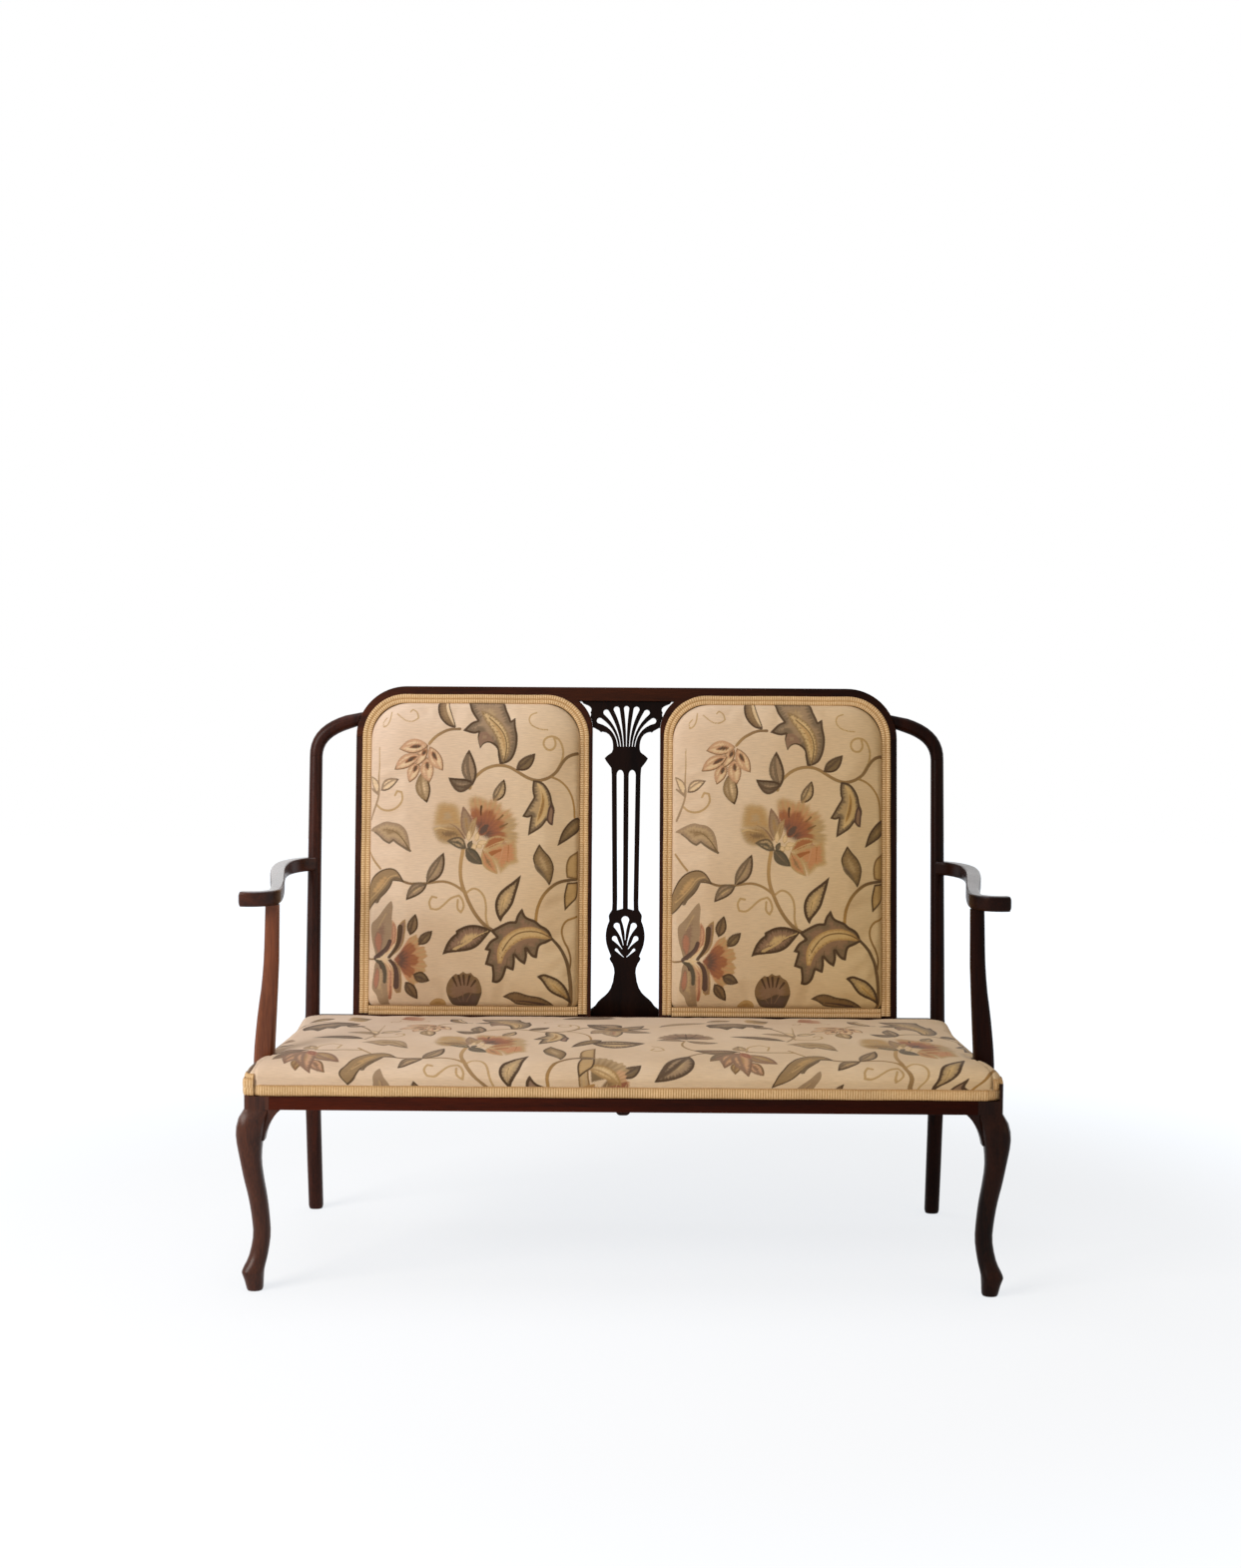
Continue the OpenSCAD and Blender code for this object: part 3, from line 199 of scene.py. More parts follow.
def mahogany(name, dark, light, axis, seed, film=0.13, coat=0.0):
    """French-polished mahogany with its grain along one axis, with painted light and painted reflection.
    film and coat are the polish; the coat is laid only on faces that look up, as painted reflection.
    """
    material, tree, output = new_material(name)
    place = add_node(tree, "TexCoord").outputs["Object"]
    along = {"X": (0.06, 1, 1), "Y": (1, 0.06, 1), "Z": (1, 1, 0.06)}[axis]
    mapped = add_node(
        tree, "Mapping", Vector=place, Location=(seed, seed * 0.7, seed * 1.3), Scale=along
    ).outputs[0]
    # Broad figure about 30 mm across, and pores about 1.5 mm apart, coarser than life so they show
    figure = add_node(tree, "TexNoise", Vector=mapped, Scale=34, Detail=3, Distortion=0.6)
    pores = add_node(tree, "TexNoise", Vector=mapped, Scale=620, Detail=2)
    tone = add_node(tree, "Math", multiply_add, i0=pores, i1=0.5, i2=figure)
    ramp = add_node(tree, "ValToRGB", Fac=tone)
    two_tones(ramp, 0.5, dark, 1.0, light)
    # Painted light: the wood is painted lighter at the left, towards the window lamp, and darker to
    # the right, and its reflection is painted weaker towards the right
    across = add_node(tree, "SeparateXYZ", Vector=place).outputs[0]
    painted_window_light = add_node(tree, "MapRange", soft_step, Value=across, To_Min=1.25, To_Max=0.36, **left_to_right)
    painted_reflection_falloff = add_node(tree, "MapRange", Value=across, To_Min=film, To_Max=film * 0.3, **left_to_right)
    # Painted reflection: the coat is laid only where a face looks up, and less of it to the right
    facing = add_node(tree, "NewGeometry").outputs["Normal"]
    upward = add_node(tree, "SeparateXYZ", Vector=facing).outputs[2]
    painted_top_reflection = add_node(tree, "MapRange", soft_step, Value=upward, From_Min=0.45, From_Max=0.9, To_Max=coat)
    painted_reflection_left = add_node(tree, "MapRange", Value=across, To_Min=1.0, To_Max=0.42, **left_to_right)
    painted_reflection_coat = add_node(tree, "Math", multiply, i0=painted_top_reflection, i1=painted_reflection_left)
    stain_and_painted_light = add_node(tree, "Mix", tint_mix, i0=1.0, i6=ramp, i7=painted_window_light)
    worn = add_node(tree, "TexNoise", Vector=place, Scale=9, Detail=4)
    rough = add_node(tree, "MapRange", Value=worn, To_Min=0.2, To_Max=0.4)
    bump = add_node(tree, "Bump", Strength=0.12, Distance=0.0004, Height=pores)
    shader = add_node(
        tree, "BsdfPrincipled",
        Base_Color=stain_and_painted_light.outputs[2], Roughness=rough, IOR=1.5,
        Specular_IOR_Level=painted_reflection_falloff, Coat_Weight=painted_reflection_coat, Coat_Roughness=0.08,
        Normal=bump,
    )
    tree.links.new(shader.outputs[0], output.inputs[0])
    return material


def finished(name, material, bevel, joints=()):
    """A CAD member with its triangles joined and its arrises softened, standing for its node.

    joints are planes (point, direction) where it meets a neighbour: edges on them stay square."""
    flat_angle, arris_angle, smooth_angle = math.radians(0.6), math.radians(32), math.radians(38)
    on_joint = 4e-4
    bm = bmesh.new()
    bm.from_mesh(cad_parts[name].data)
    bmesh.ops.remove_doubles(bm, verts=bm.verts, dist=2e-6)
    bmesh.ops.dissolve_limit(
        bm, angle_limit=flat_angle, verts=bm.verts, edges=bm.edges, use_dissolve_boundaries=False
    )
    sharp = []
    for edge in bm.edges:
        if len(edge.link_faces) != 2 or edge.calc_face_angle() < arris_angle:
            continue
        ends = [v.co for v in edge.verts]
        if any(all(abs((c - p).dot(n)) < on_joint for c in ends) for p, n in joints):
            continue
        sharp.append(edge)
    bmesh.ops.bevel(
        bm, geom=sharp, offset=bevel, offset_type="OFFSET", affect="EDGES", segments=2,
        profile=0.5, material=-1, clamp_overlap=True,
    )
    bmesh.ops.triangulate(bm, faces=[f for f in bm.faces if len(f.verts) > 4])
    for face in bm.faces:
        face.smooth = True
    piece = piece_from(bm, "finished_" + name, material)
    piece.data.set_sharp_from_angle(angle=smooth_angle)
    weighted = piece.modifiers.new("flat_faces", "WEIGHTED_NORMAL")
    weighted.keep_sharp = True
    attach(piece, "root")
    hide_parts(name)


# Front legs and their ear brackets: cabriole legs sawn from thick mahogany, each with a square block
# on top that the rails butt against, and small brackets glued in the corners below.
leg_wood = mahogany("mahogany_leg", "#1c0d09", "#512c1e", "Z", 1.7, 0.24)
for side in ("left", "right"):
    finished("front_leg_" + side, leg_wood, 0.0012)
    for bracket in ("front_ear_", "side_ear_"):
        finished(bracket + side, leg_wood, 0.0008)

# Seat rails: straight mahogany boards glued between the blocks of the legs and posts. The centre
# rail with its rounded lower edge is housed under the seat.
rail_wood = mahogany("mahogany_rail", "#1d0803", "#4c1a08", "X", 3.1, 0.1)
side_rail_wood = mahogany("mahogany_side_rail", "#180905", "#3a160b", "Y", 5.3)
finished("front_rail", rail_wood, 0.001)
finished("rear_rail", rail_wood, 0.001)
finished("centre_rail", side_rail_wood, 0.001)
for side in ("left", "right"):
    finished("side_rail_" + side, side_rail_wood, 0.001)

# Rear posts and shoulders: each mahogany post sweeps back to its foot, and a hooped shoulder carries
# it on and is glued to the end of the crest rail.
post_wood = mahogany("mahogany_post", "#150806", "#452116", "Z", 7.9)
for side in ("left", "right"):
    finished("rear_post_" + side, post_wood, 0.0008)
    finished("shoulder_" + side, post_wood, 0.0008)

# Back frame: mahogany like the rails. The crest rail stands over two pairs of stiles on the lower
# rail, all dowelled and glued flush, with a panel rail between each pair.
crest_wood = mahogany("mahogany_crest", "#1a0a05", "#45200f", "X", 2.3)
lean_angle = math.radians(5.8)
up_slope = Vector((0, math.sin(lean_angle), math.cos(lean_angle)))
out_slope = Vector((0, math.cos(lean_angle), -math.sin(lean_angle)))
seat_line_y, seat_line_z = 0.20124, 0.381


def on_back(x, w, v):
    """Point x across, w behind the back's front face and v up its slope, in metres."""
    return Vector((x, seat_line_y, seat_line_z)) + out_slope * w + up_slope * v


spring_v = 0.525
rail_v = 0.0005
back_joints = [(on_back(0, 0, spring_v), up_slope), (on_back(0, 0, rail_v), up_slope)]
finished("crest_rail", crest_wood, 0.0012, back_joints)
finished("back_lower_rail", crest_wood, 0.0008, back_joints)
for side in ("left", "right"):
    finished("outer_stile_" + side, post_wood, 0.0012, back_joints)
    finished("inner_stile_" + side, post_wood, 0.0012, back_joints)
    finished("panel_rail_" + side, crest_wood, 0.0008, back_joints)

# Splat: a thin mahogany board fretted with a saw into a fan, long lights and a palmette. Its head is
# let into the crest rail and its foot stands on the lower rail.
splat_wood = mahogany("mahogany_splat", "#0a0403", "#20100b", "Z", 9.4, 0.09)
finished("splat", splat_wood, 0.0009, back_joints)

# Arms and supports: each arm bows out from its post and turns outward at the front, and rests on
# a curved support screwed to the side rail. The left support is a lighter, warmer brown than the right.
arm_wood = mahogany("mahogany_arm", "#1c0c07", "#4a2619", "Y", 4.2, 0.2, 1.0)
lighter_support_wood = mahogany("mahogany_lighter_support", "#452210", "#7b4529", "Z", 6.6, 0.3)
for side in ("left", "right"):
    finished("arm_" + side, arm_wood, 0.0008)
finished("arm_support_left", lighter_support_wood, 0.0008)
finished("arm_support_right", post_wood, 0.0008)

# Hidden carcass. Beech corner blocks and dowels, steel wood screws, plain-woven jute webbing and
# hessian, glued, screwed or tacked to the frame. They are raw, as the covers hide them.


def plain_material(name, dark, light, scale, roughness, stretch=(1, 1, 1), metallic=0.0):
    """A matt material with soft variation between two tones."""
    material, tree, output = new_material(name)
    place = add_node(tree, "TexCoord").outputs["Object"]
    mapped = add_node(tree, "Mapping", Vector=place, Scale=stretch).outputs[0]
    cloud = add_node(tree, "TexNoise", Vector=mapped, Scale=scale, Detail=4)
    ramp = add_node(tree, "ValToRGB", Fac=cloud)
    two_tones(ramp, 0.3, dark, 0.7, light)
    bump = add_node(tree, "Bump", Strength=0.3, Distance=0.0005, Height=cloud)
    shader = add_node(
        tree, "BsdfPrincipled",
        Base_Color=ramp, Roughness=roughness, Metallic=metallic, Normal=bump,
    )
    tree.links.new(shader.outputs[0], output.inputs[0])
    return material


def woven_material(name, dark, light, thread, roughness):
    """Plain weave: two sets of threads at right angles, a thread spacing apart in metres."""
    band_gap = 0.314  # metres between the bands of a wave texture at scale 1
    material, tree, output = new_material(name)
    place = add_node(tree, "TexCoord").outputs["Object"]
    bands = []
    for direction in ("X", "Y"):
        wave = add_node(
            tree, "TexWave", {"bands_direction": direction},
            Vector=place, Scale=band_gap / thread, Distortion=0.6, Detail=1,
        )
        bands.append(wave.outputs["Fac"])
    weave = add_node(tree, "Math", multiply_add, i0=bands[0], i1=0.5, i2=bands[1])
    ramp = add_node(tree, "ValToRGB", Fac=weave)
    two_tones(ramp, 0.1, dark, 1.0, light)
    bump = add_node(tree, "Bump", Strength=0.5, Distance=0.0006, Height=weave)
    shader = add_node(tree, "BsdfPrincipled", Base_Color=ramp, Roughness=roughness, Normal=bump)
    tree.links.new(shader.outputs[0], output.inputs[0])
    return material


def refinish(names, material):
    """Gives CAD nodes that keep their shape a material of their own."""
    for name in names:
        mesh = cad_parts[name].data
        mesh.materials.clear()
        mesh.materials.append(material)


beech = plain_material("beech_block", "#a37a4e", "#c29a6a", 40, 0.6, (1, 1, 0.2))
steel = plain_material("steel_screw", "#6d6a64", "#98948c", 300, 0.4, metallic=1.0)
jute = woven_material("jute_webbing", "#7d6138", "#b3935c", 0.0024, 0.9)
hessian = woven_material("hessian", "#5a4728", "#8a6f45", 0.0018, 0.95)
refinish(["front_corner_blocks", "rear_corner_blocks", "frame_dowels"], beech)
refinish(["corner_block_screws", "support_screws"], steel)
refinish(["seat_webbing", "back_webbing_left", "back_webbing_right"], jute)
refinish(["seat_hessian", "back_hessian_left", "back_hessian_right"], hessian)

# Outside backs: a dull beige lining with soft cords across, stretched over the back of each panel
# and tacked in a rebate of the frame.
lining = woven_material("back_lining", "#9b8a70", "#bba98c", 0.0012, 0.9)
refinish(["outside_back_left", "outside_back_right"], lining)

# Cover cloth. A woven furnishing cloth: a cream ground with trailing stems, leaves and open flowers
# in grey, olive, gold, rust and dusty pink, of the traditional crewelwork kind. The design is drawn
# on a sheet ruled at 0.4075 mm, x to the right and y down, and woven shape by shape.


# Units of the sheet over which a dye fades in across a shape's edge, the distance that stands for
# nothing near, and how far round a line its ink reaches
dye_edge = (-1.6, 1.8)
far_off = -20.0
ink_reach = 5


class Cloth:
    """Points of cloth on the design's sheet, with the dye and the outline that each has so far."""

    def __init__(self, x, y):
        self.x, self.y = x, y
        self.cover = np.full(len(x), far_off)
        self.line = np.full(len(x), far_off)
        self.dye = np.tile(dyes["straw"], (len(x), 1))
        self.ink = np.tile(dyes["bark"], (len(x), 1))
        self.shift = 0.0

    def near(self, low, high, margin):
        """Which points lie in a box round a motif."""
        x = self.x - self.shift
        return np.nonzero(
            (x > low[0] - margin) & (x < high[0] + margin)
            & (self.y > low[1] - margin) & (self.y < high[1] + margin)
        )[0]

    def fill(self, which, inside, colour, soft=1.0):
        """Weaves a shape over what is there: inside is how far each point lies within its edge."""
        inside = inside / soft
        over, under = smooth(inside, *dye_edge), smooth(self.cover[which], *dye_edge)
        share = np.where(under < 0.01, 1.0, over / np.maximum(over + under * (1 - over), 1e-6))
        self.dye[which] = blend(self.dye[which], colour, share)
        self.cover[which] = np.maximum(self.cover[which], inside)
        self.line[which] = np.minimum(self.line[which], -inside)

    def draw(self, which, inside, ink):
        """Weaves a line over what is there."""
        wins = inside > self.line[which]
        self.line[which[wins]] = inside[wins]
        self.ink[which[wins & (inside > -ink_reach)]] = dyes[ink]


dyes = {
    name: np.array(linear(colour)[:3])
    for name, colour in {
        "bark": "#4d3a29", "umber": "#493420", "brown": "#7d6244", "tan": "#a98a60",
        "ochre": "#a9834c", "gold": "#bc9a6c", "straw": "#d3b991", "cream": "#e6cfb0",
        "slate": "#6f5e4d", "steel": "#9d8670", "teal": "#514a3e", "moss": "#6f5a3c",
        "olive": "#917857", "sage": "#b69e7f", "plum": "#4f3935", "mauve": "#8a6d5e",
        "rose": "#a9725e", "blush": "#cca387", "brick": "#8f543e", "rust": "#a4663f",
        "salmon": "#c78f6b", "haze": "#bfa27a",
    }.items()
}


def smooth(value, low, high):
    """0 below low, 1 above high, with a soft step between."""
    x = np.clip((value - low) / (high - low), 0, 1)
    return x * x * (3 - 2 * x)


def blend(a, b, share):
    """Colours from a to b by a share for each point."""
    share = np.asarray(share)[:, None]
    return a * (1 - share) + b * share


def softened(points, closed):
    """Rounds the gentle corners of a drawn line and keeps its sharp ones."""
    p = np.array(points, float)
    for _ in range(2):
        before, after = p - np.roll(p, 1, 0), np.roll(p, -1, 0) - p
        lengths = np.hypot(*before.T) * np.hypot(*after.T)
        sharp = (before * after).sum(1) < 0.5 * lengths
        if not closed:
            sharp[[0, -1]] = True
        made = []
        for k in range(len(p)):
            made += [p[k]] if sharp[k] else [p[k] - before[k] / 4, p[k] + after[k] / 4]
        p = np.array(made)
    return p


def from_line(cloth, p, q, margin):
    """Points near the straight pieces p to q: their place, share along each piece and gap to it."""
    which = cloth.near(np.minimum(p, q).min(0), np.maximum(p, q).max(0), margin)
    x = (cloth.x[which] - cloth.shift)[:, None]
    y = cloth.y[which][:, None]
    run = q - p
    f = ((x - p[:, 0]) * run[:, 0] + (y - p[:, 1]) * run[:, 1]) / np.maximum((run**2).sum(1), 1e-9)
    f = np.clip(f, 0, 1)
    return which, x, y, f, np.hypot(x - p[:, 0] - f * run[:, 0], y - p[:, 1] - f * run[:, 1])


def shape(cloth, outline, tones, rim=6, ink="bark", soft=1.0):
    """A closed shape in three tones, feathered from its edge to its heart, with a dark rim."""
    p = softened(outline, True)
    q = np.roll(p, -1, 0)
    which, x, y, f, gap = from_line(cloth, p, q, 10 + 2 * soft)
    if not len(which):
        return
    rise = np.where(np.abs(q[:, 1] - p[:, 1]) < 1e-9, 1e-9, q[:, 1] - p[:, 1])
    meets = x < p[:, 0] + (y - p[:, 1]) * (q[:, 0] - p[:, 0]) / rise
    crossed = ((p[:, 1] > y) != (q[:, 1] > y)) & meets
    inside = np.where(crossed.sum(1) % 2 == 1, 1, -1) * gap.min(1)
    deep = max(inside.max(), 1)
    # Satin stitches run in from the edge, long and short by turns
    piece = np.hypot(*(q - p).T)
    begun = np.concatenate([[0], np.cumsum(piece)[:-1]])
    nearest = gap.argmin(1)
    along = begun[nearest] + f[np.arange(len(which)), nearest] * piece[nearest]
    stitch = np.sin(along * 0.42) + 0.6 * np.sin(along * 0.19 + 1)
    level = inside / deep + 0.08 * stitch
    colour = blend(dyes[tones[0]], dyes[tones[1]], smooth(level, 0.18, 0.46))
    colour = blend(colour, dyes[tones[2]], smooth(level, 0.6, 0.9))
    cloth.fill(which, inside, colour, soft)
    if rim:
        # A rim is woven a third wider than drawn, and mostly inside the edge
        rim *= 1.35
        cloth.draw(which, rim / 2 - np.abs(inside - rim * 0.35), ink)


def along_line(cloth, points, width, taper):
    """Points near a smoothed line of some width: how far each is within it, and how far along."""
    p = softened(points, False)
    which, _, _, f, gap = from_line(cloth, p[:-1], p[1:], width + 6)
    if not len(which):
        return which, None, None
    share = (np.arange(len(p) - 1) + f) / (len(p) - 1)
    inside = width / 2 * (taper[0] * (1 - share) + taper[1] * share) - gap
    best = inside.argmax(1)
    rows = np.arange(len(which))
    return which, inside[rows, best], share[rows, best]


def stroke(cloth, points, width, ink, taper=(1, 1)):
    """A vein or mark drawn on a shape."""
    which, inside, _ = along_line(cloth, points, width, taper)
    if len(which):
        cloth.draw(which, inside, ink)


def stem(cloth, points, width=13, tones=("brown", "tan"), taper=(1, 1)):
    """A stem that changes tone along its length."""
    which, inside, share = along_line(cloth, points, width, taper)
    if len(which):
        cloth.fill(which, inside, blend(dyes[tones[0]], dyes[tones[1]], share))


def curl(cloth, *points, tone="haze", width=9):
    """A thin pale tendril."""
    stem(cloth, points, width, (tone, tone))


def leaf(cloth, base, tip, width, bend=0.0, tones=("slate", "steel", "straw"), rim=6, ink="bark",
         vein="bark", full=0.42):
    """A pointed leaf or petal from base to tip, bent by a share of its length."""
    base, tip = np.array(base, float), np.array(tip, float)
    along = tip - base
    across = np.array([-along[1], along[0]])
    length = np.hypot(*along)
    right, left, rib = [], [], []
    steps = 8
    for k in range(steps + 1):
        a = k / steps
        if a < full:
            swell = math.sin(a / full * math.pi / 2) ** 0.8
        else:
            swell = max(math.cos((a - full) / (1 - full) * math.pi / 2), 0) ** 0.9
        mid = base + along * a + across * bend * 4 * a * (1 - a)
        side = across / length * width / 2 * swell
        rib.append(tuple(mid))
        right.append(tuple(mid + side))
        left.append(tuple(mid - side))
    shape(cloth, right + left[-2:0:-1], tones, rim, ink)
    if width > 40 and rim:
        dark_side = left if left[steps // 2][0] < right[steps // 2][0] else right
        half = [base + along * 0.06] + dark_side[1:-1] + rib[-2:0:-1]
        shape(cloth, half, (tones[0], tones[0], tones[1]), 0, soft=3)
    if vein and width > 22:
        stroke(cloth, rib[:-1], 4, vein, (1, 0.4))


def fan(cloth, centre, radius, aim, spread, tones, rays=9, ragged=0.16, soft=3.0):
    """Petals spread like a fan: rounded lobes with streaks that radiate, angles in degrees."""
    which = cloth.near(np.array(centre) - radius * 1.15, np.array(centre) + radius * 1.15, 0)
    if not len(which):
        return
    dx = cloth.x[which] - cloth.shift - centre[0]
    dy = centre[1] - cloth.y[which]
    r = np.hypot(dx, dy)
    turn = (np.degrees(np.arctan2(dy, dx)) - aim + 180) % 360 - 180
    phase = (turn / spread + 0.5) * math.pi
    lobe = np.abs(np.sin(phase * max(round(rays / 3), 1))) ** 0.5
    fringe = np.sin(phase * rays * 2.3) + 0.7 * np.sin(phase * rays * 1.3 + 2)
    edge = radius * (1 - ragged * (1 - lobe) - 0.025 * fringe)
    edge = edge * np.clip(1.2 - (np.abs(turn) / (spread * 0.5)) ** 4 * 0.35, 0.3, 1)
    side = (spread / 2 - np.abs(turn)) * math.radians(1) * r
    inside = np.minimum(edge - r, side)
    streak = 0.5 + 0.5 * np.cos(phase * rays * 2 + 1.3 * np.sin(r / radius * 5))
    level = r / radius + 0.1 * (streak - 0.5) + 0.12 * (lobe - 0.6)
    colour = blend(dyes[tones[0]], dyes[tones[1]], smooth(level, 0.2, 0.62))
    colour = blend(colour, dyes[tones[2]], smooth(level, 0.5, 0.92) * (0.45 + 0.55 * streak))
    cloth.fill(which, inside, colour, soft)


def panel_motifs(c):
    """What both back panels show, and the seat again between."""
    # stems
    curl(c, (311, 112), (336, 135), (361, 152), (391, 152), (413, 135), (406, 105), (383, 92), (373, 105),
        width=7)
    curl(c, (281, 100), (281, 140), (266, 170), (248, 175), (243, 150), (261, 130), width=7)
    curl(c, (216, 535), (241, 560), (281, 567), (321, 550), (346, 515), (338, 480), (316, 475), (306, 495),
        width=10)
    curl(c, (961, 105), (931, 115), (923, 145), (941, 172), (981, 187), (1011, 187), width=7)
    curl(c, (1041, 225), (1051, 255), (1036, 280), (1011, 282), (991, 260), (996, 230), (1026, 215),
        (1061, 225), (1081, 260), (1086, 300), (1076, 340), (1046, 390), width=10)
    curl(c, (507, 964), (486, 959), (471, 985), (481, 1015), (512, 1021), (543, 995), (574, 964),
        (610, 954), (625, 969), (635, 1005), (620, 1031), (602, 1015), (605, 974), width=10)
    curl(c, (643, 943), (672, 918), (703, 928), (728, 959), (736, 1005), (733, 1057), (749, 1103),
        width=10)
    stem(c, [(606, 185), (561, 185), (521, 205), (491, 225), (466, 255)], 14, ("brown", "tan"))
    stem(c, [(655, 460), (665, 425), (688, 400), (716, 375), (756, 357), (801, 352), (841, 362),
        (881, 387), (921, 412), (966, 425), (1006, 417), (1036, 400), (1061, 375), (1086, 330),
        (1111, 305), (1160, 288)], 15, ("tan", "brown"))
    stem(c, [(1036, 407), (1071, 420), (1106, 450), (1131, 495), (1141, 540), (1143, 590)], 10,
        ("tan", "ochre"))
    stem(c, [(186, 602), (206, 560), (231, 485), (226, 440), (228, 380), (231, 325), (231, 270)], 9,
        ("steel", "haze"), (1.2, 0.6))
    stem(c, [(226, 490), (185, 455)], 9, ("steel", "steel"))
    leaf(c, (238, 472), (323, 420), 48, -0.08, ("steel", "cream", "cream"), 5, "slate", None)
    leaf(c, (222, 486), (176, 395), 34, 0.1, ("steel", "cream", "cream"), 4, "steel", None)
    # small top leaf
    shape(c, [(583, 178), (551, 172), (521, 145), (503, 110), (498, 60), (500, 25), (545, 25), (552, 70),
        (568, 115), (588, 172)], ("umber", "brown", "olive"), 6)
    shape(c, [(583, 172), (560, 140), (540, 95), (532, 40), (543, 40), (553, 85), (570, 130)],
        ("cream", "cream", "cream"), 0)
    # big top serrated leaf
    shape(c, [(803, 348), (841, 335), (861, 300), (871, 260), (873, 215), (863, 175), (861, 132),
        (841, 145), (833, 120), (818, 85), (811, 30), (640, 30), (653, 90), (671, 120), (686, 142),
        (661, 150), (641, 172), (622, 192), (671, 208), (693, 200), (688, 230), (701, 275), (713, 255),
        (736, 245), (761, 255), (783, 278), (783, 300), (791, 345)], ("slate", "steel", "sage"), 8)
    shape(c, [(700, 200), (690, 235), (702, 268), (715, 248), (740, 240), (765, 250), (750, 215),
        (725, 195)], ("mauve", "mauve", "steel"), 0)
    shape(c, [(700, 92), (740, 104), (790, 140), (825, 190), (842, 250), (835, 310), (808, 342),
        (792, 300), (780, 240), (750, 185), (715, 140)], ("olive", "straw", "gold"), 0)
    stroke(c, [(740, 130), (785, 170), (815, 215), (825, 270), (812, 335)], 6, "moss")
    for spot in ((712, 108), (722, 128), (738, 150), (757, 168), (775, 195), (790, 225)):
        stroke(c, [spot, (spot[0] + 5, spot[1] + 4)], 5, "brown")
    # star flower
    leaf(c, (433, 388), (458, 528), 68, 0.05, ("olive", "sage", "cream"), 6, "umber", "tan", 0.5)
    for base, tip, width, near, far in (
        ((455, 318), (468, 436), 62, 0.15, 0.52), ((418, 338), (374, 436), 54, 0.15, 0.55),
        ((468, 268), (530, 380), 60, 0.18, 0.6), ((458, 272), (408, 358), 46, 0.1, 0.5),
        ((425, 305), (304, 376), 60, 0.12, 0.6), ((462, 264), (326, 280), 66, 0.2, 0.68),
    ):
        leaf(c, base, tip, width, 0.04, ("blush", "cream", "cream"), 4, "brown", None, 0.5)
        inner = [(base[0] + (tip[0] - base[0]) * k, base[1] + (tip[1] - base[1]) * k) for k in (near, far)]
        leaf(c, inner[0], inner[1], 21, 0.04, ("rust", "umber", "umber"), 0, vein=None)
    # leaf pair
    leaf(c, (668, 445), (650, 283), 68, -0.06, ("slate", "steel", "steel"), 8)
    leaf(c, (672, 436), (556, 412), 64, -0.2, ("umber", "slate", "steel"), 7)
    # small dark leaf right of stem
    leaf(c, (868, 374), (955, 298), 56, 0.05, ("umber", "moss", "moss"), 6, "umber")
    leaf(c, (765, 522), (813, 418), 52, 0.06, ("slate", "sage", "straw"), 6, "umber", "tan")
    # right lobed leaf
    shape(c, [(948, 422), (943, 450), (946, 485), (953, 500), (933, 530), (916, 560), (899, 588),
        (921, 595), (938, 588), (931, 630), (926, 675), (961, 655), (991, 635), (1011, 605), (1026, 625),
        (1040, 628), (1043, 590), (1051, 555), (1036, 525), (1031, 490), (1016, 460), (996, 435),
        (976, 425)], ("slate", "sage", "sage"), 7)
    shape(c, [(1011, 605), (1026, 625), (1040, 628), (1043, 590), (1048, 555), (1030, 530), (1018, 560)],
        ("mauve", "mauve", "mauve"), 6, "plum")
    shape(c, [(962, 432), (990, 445), (1012, 485), (1020, 530), (1012, 575), (990, 612), (958, 635),
        (962, 600), (975, 560), (985, 510), (978, 465)], ("straw", "straw", "straw"), 0)
    shape(c, [(985, 470), (1000, 500), (1002, 540), (988, 585), (968, 612), (970, 585), (984, 545),
        (990, 505)], ("ochre", "ochre", "brown"), 0)
    shape(c, [(1064, 722), (1078, 672), (1102, 630), (1132, 600), (1165, 585), (1190, 600), (1180, 640),
        (1150, 665), (1105, 698)], ("umber", "moss", "olive"), 6, "umber")
    # left big leaf
    shape(c, [(176, 655), (221, 630), (266, 612), (296, 620), (331, 625), (361, 650), (376, 690),
        (384, 754), (361, 740), (326, 720), (303, 698), (281, 715), (251, 700), (231, 675), (206, 662)],
        ("steel", "sage", "olive"), 0)
    stroke(c, [(210, 664), (235, 682), (255, 702), (281, 715), (301, 700), (326, 720), (361, 740),
        (382, 750)], 9, "slate", (0.8, 1.3))
    stroke(c, [(240, 650), (300, 655), (345, 690), (378, 745)], 7, "moss", (0.3, 1))
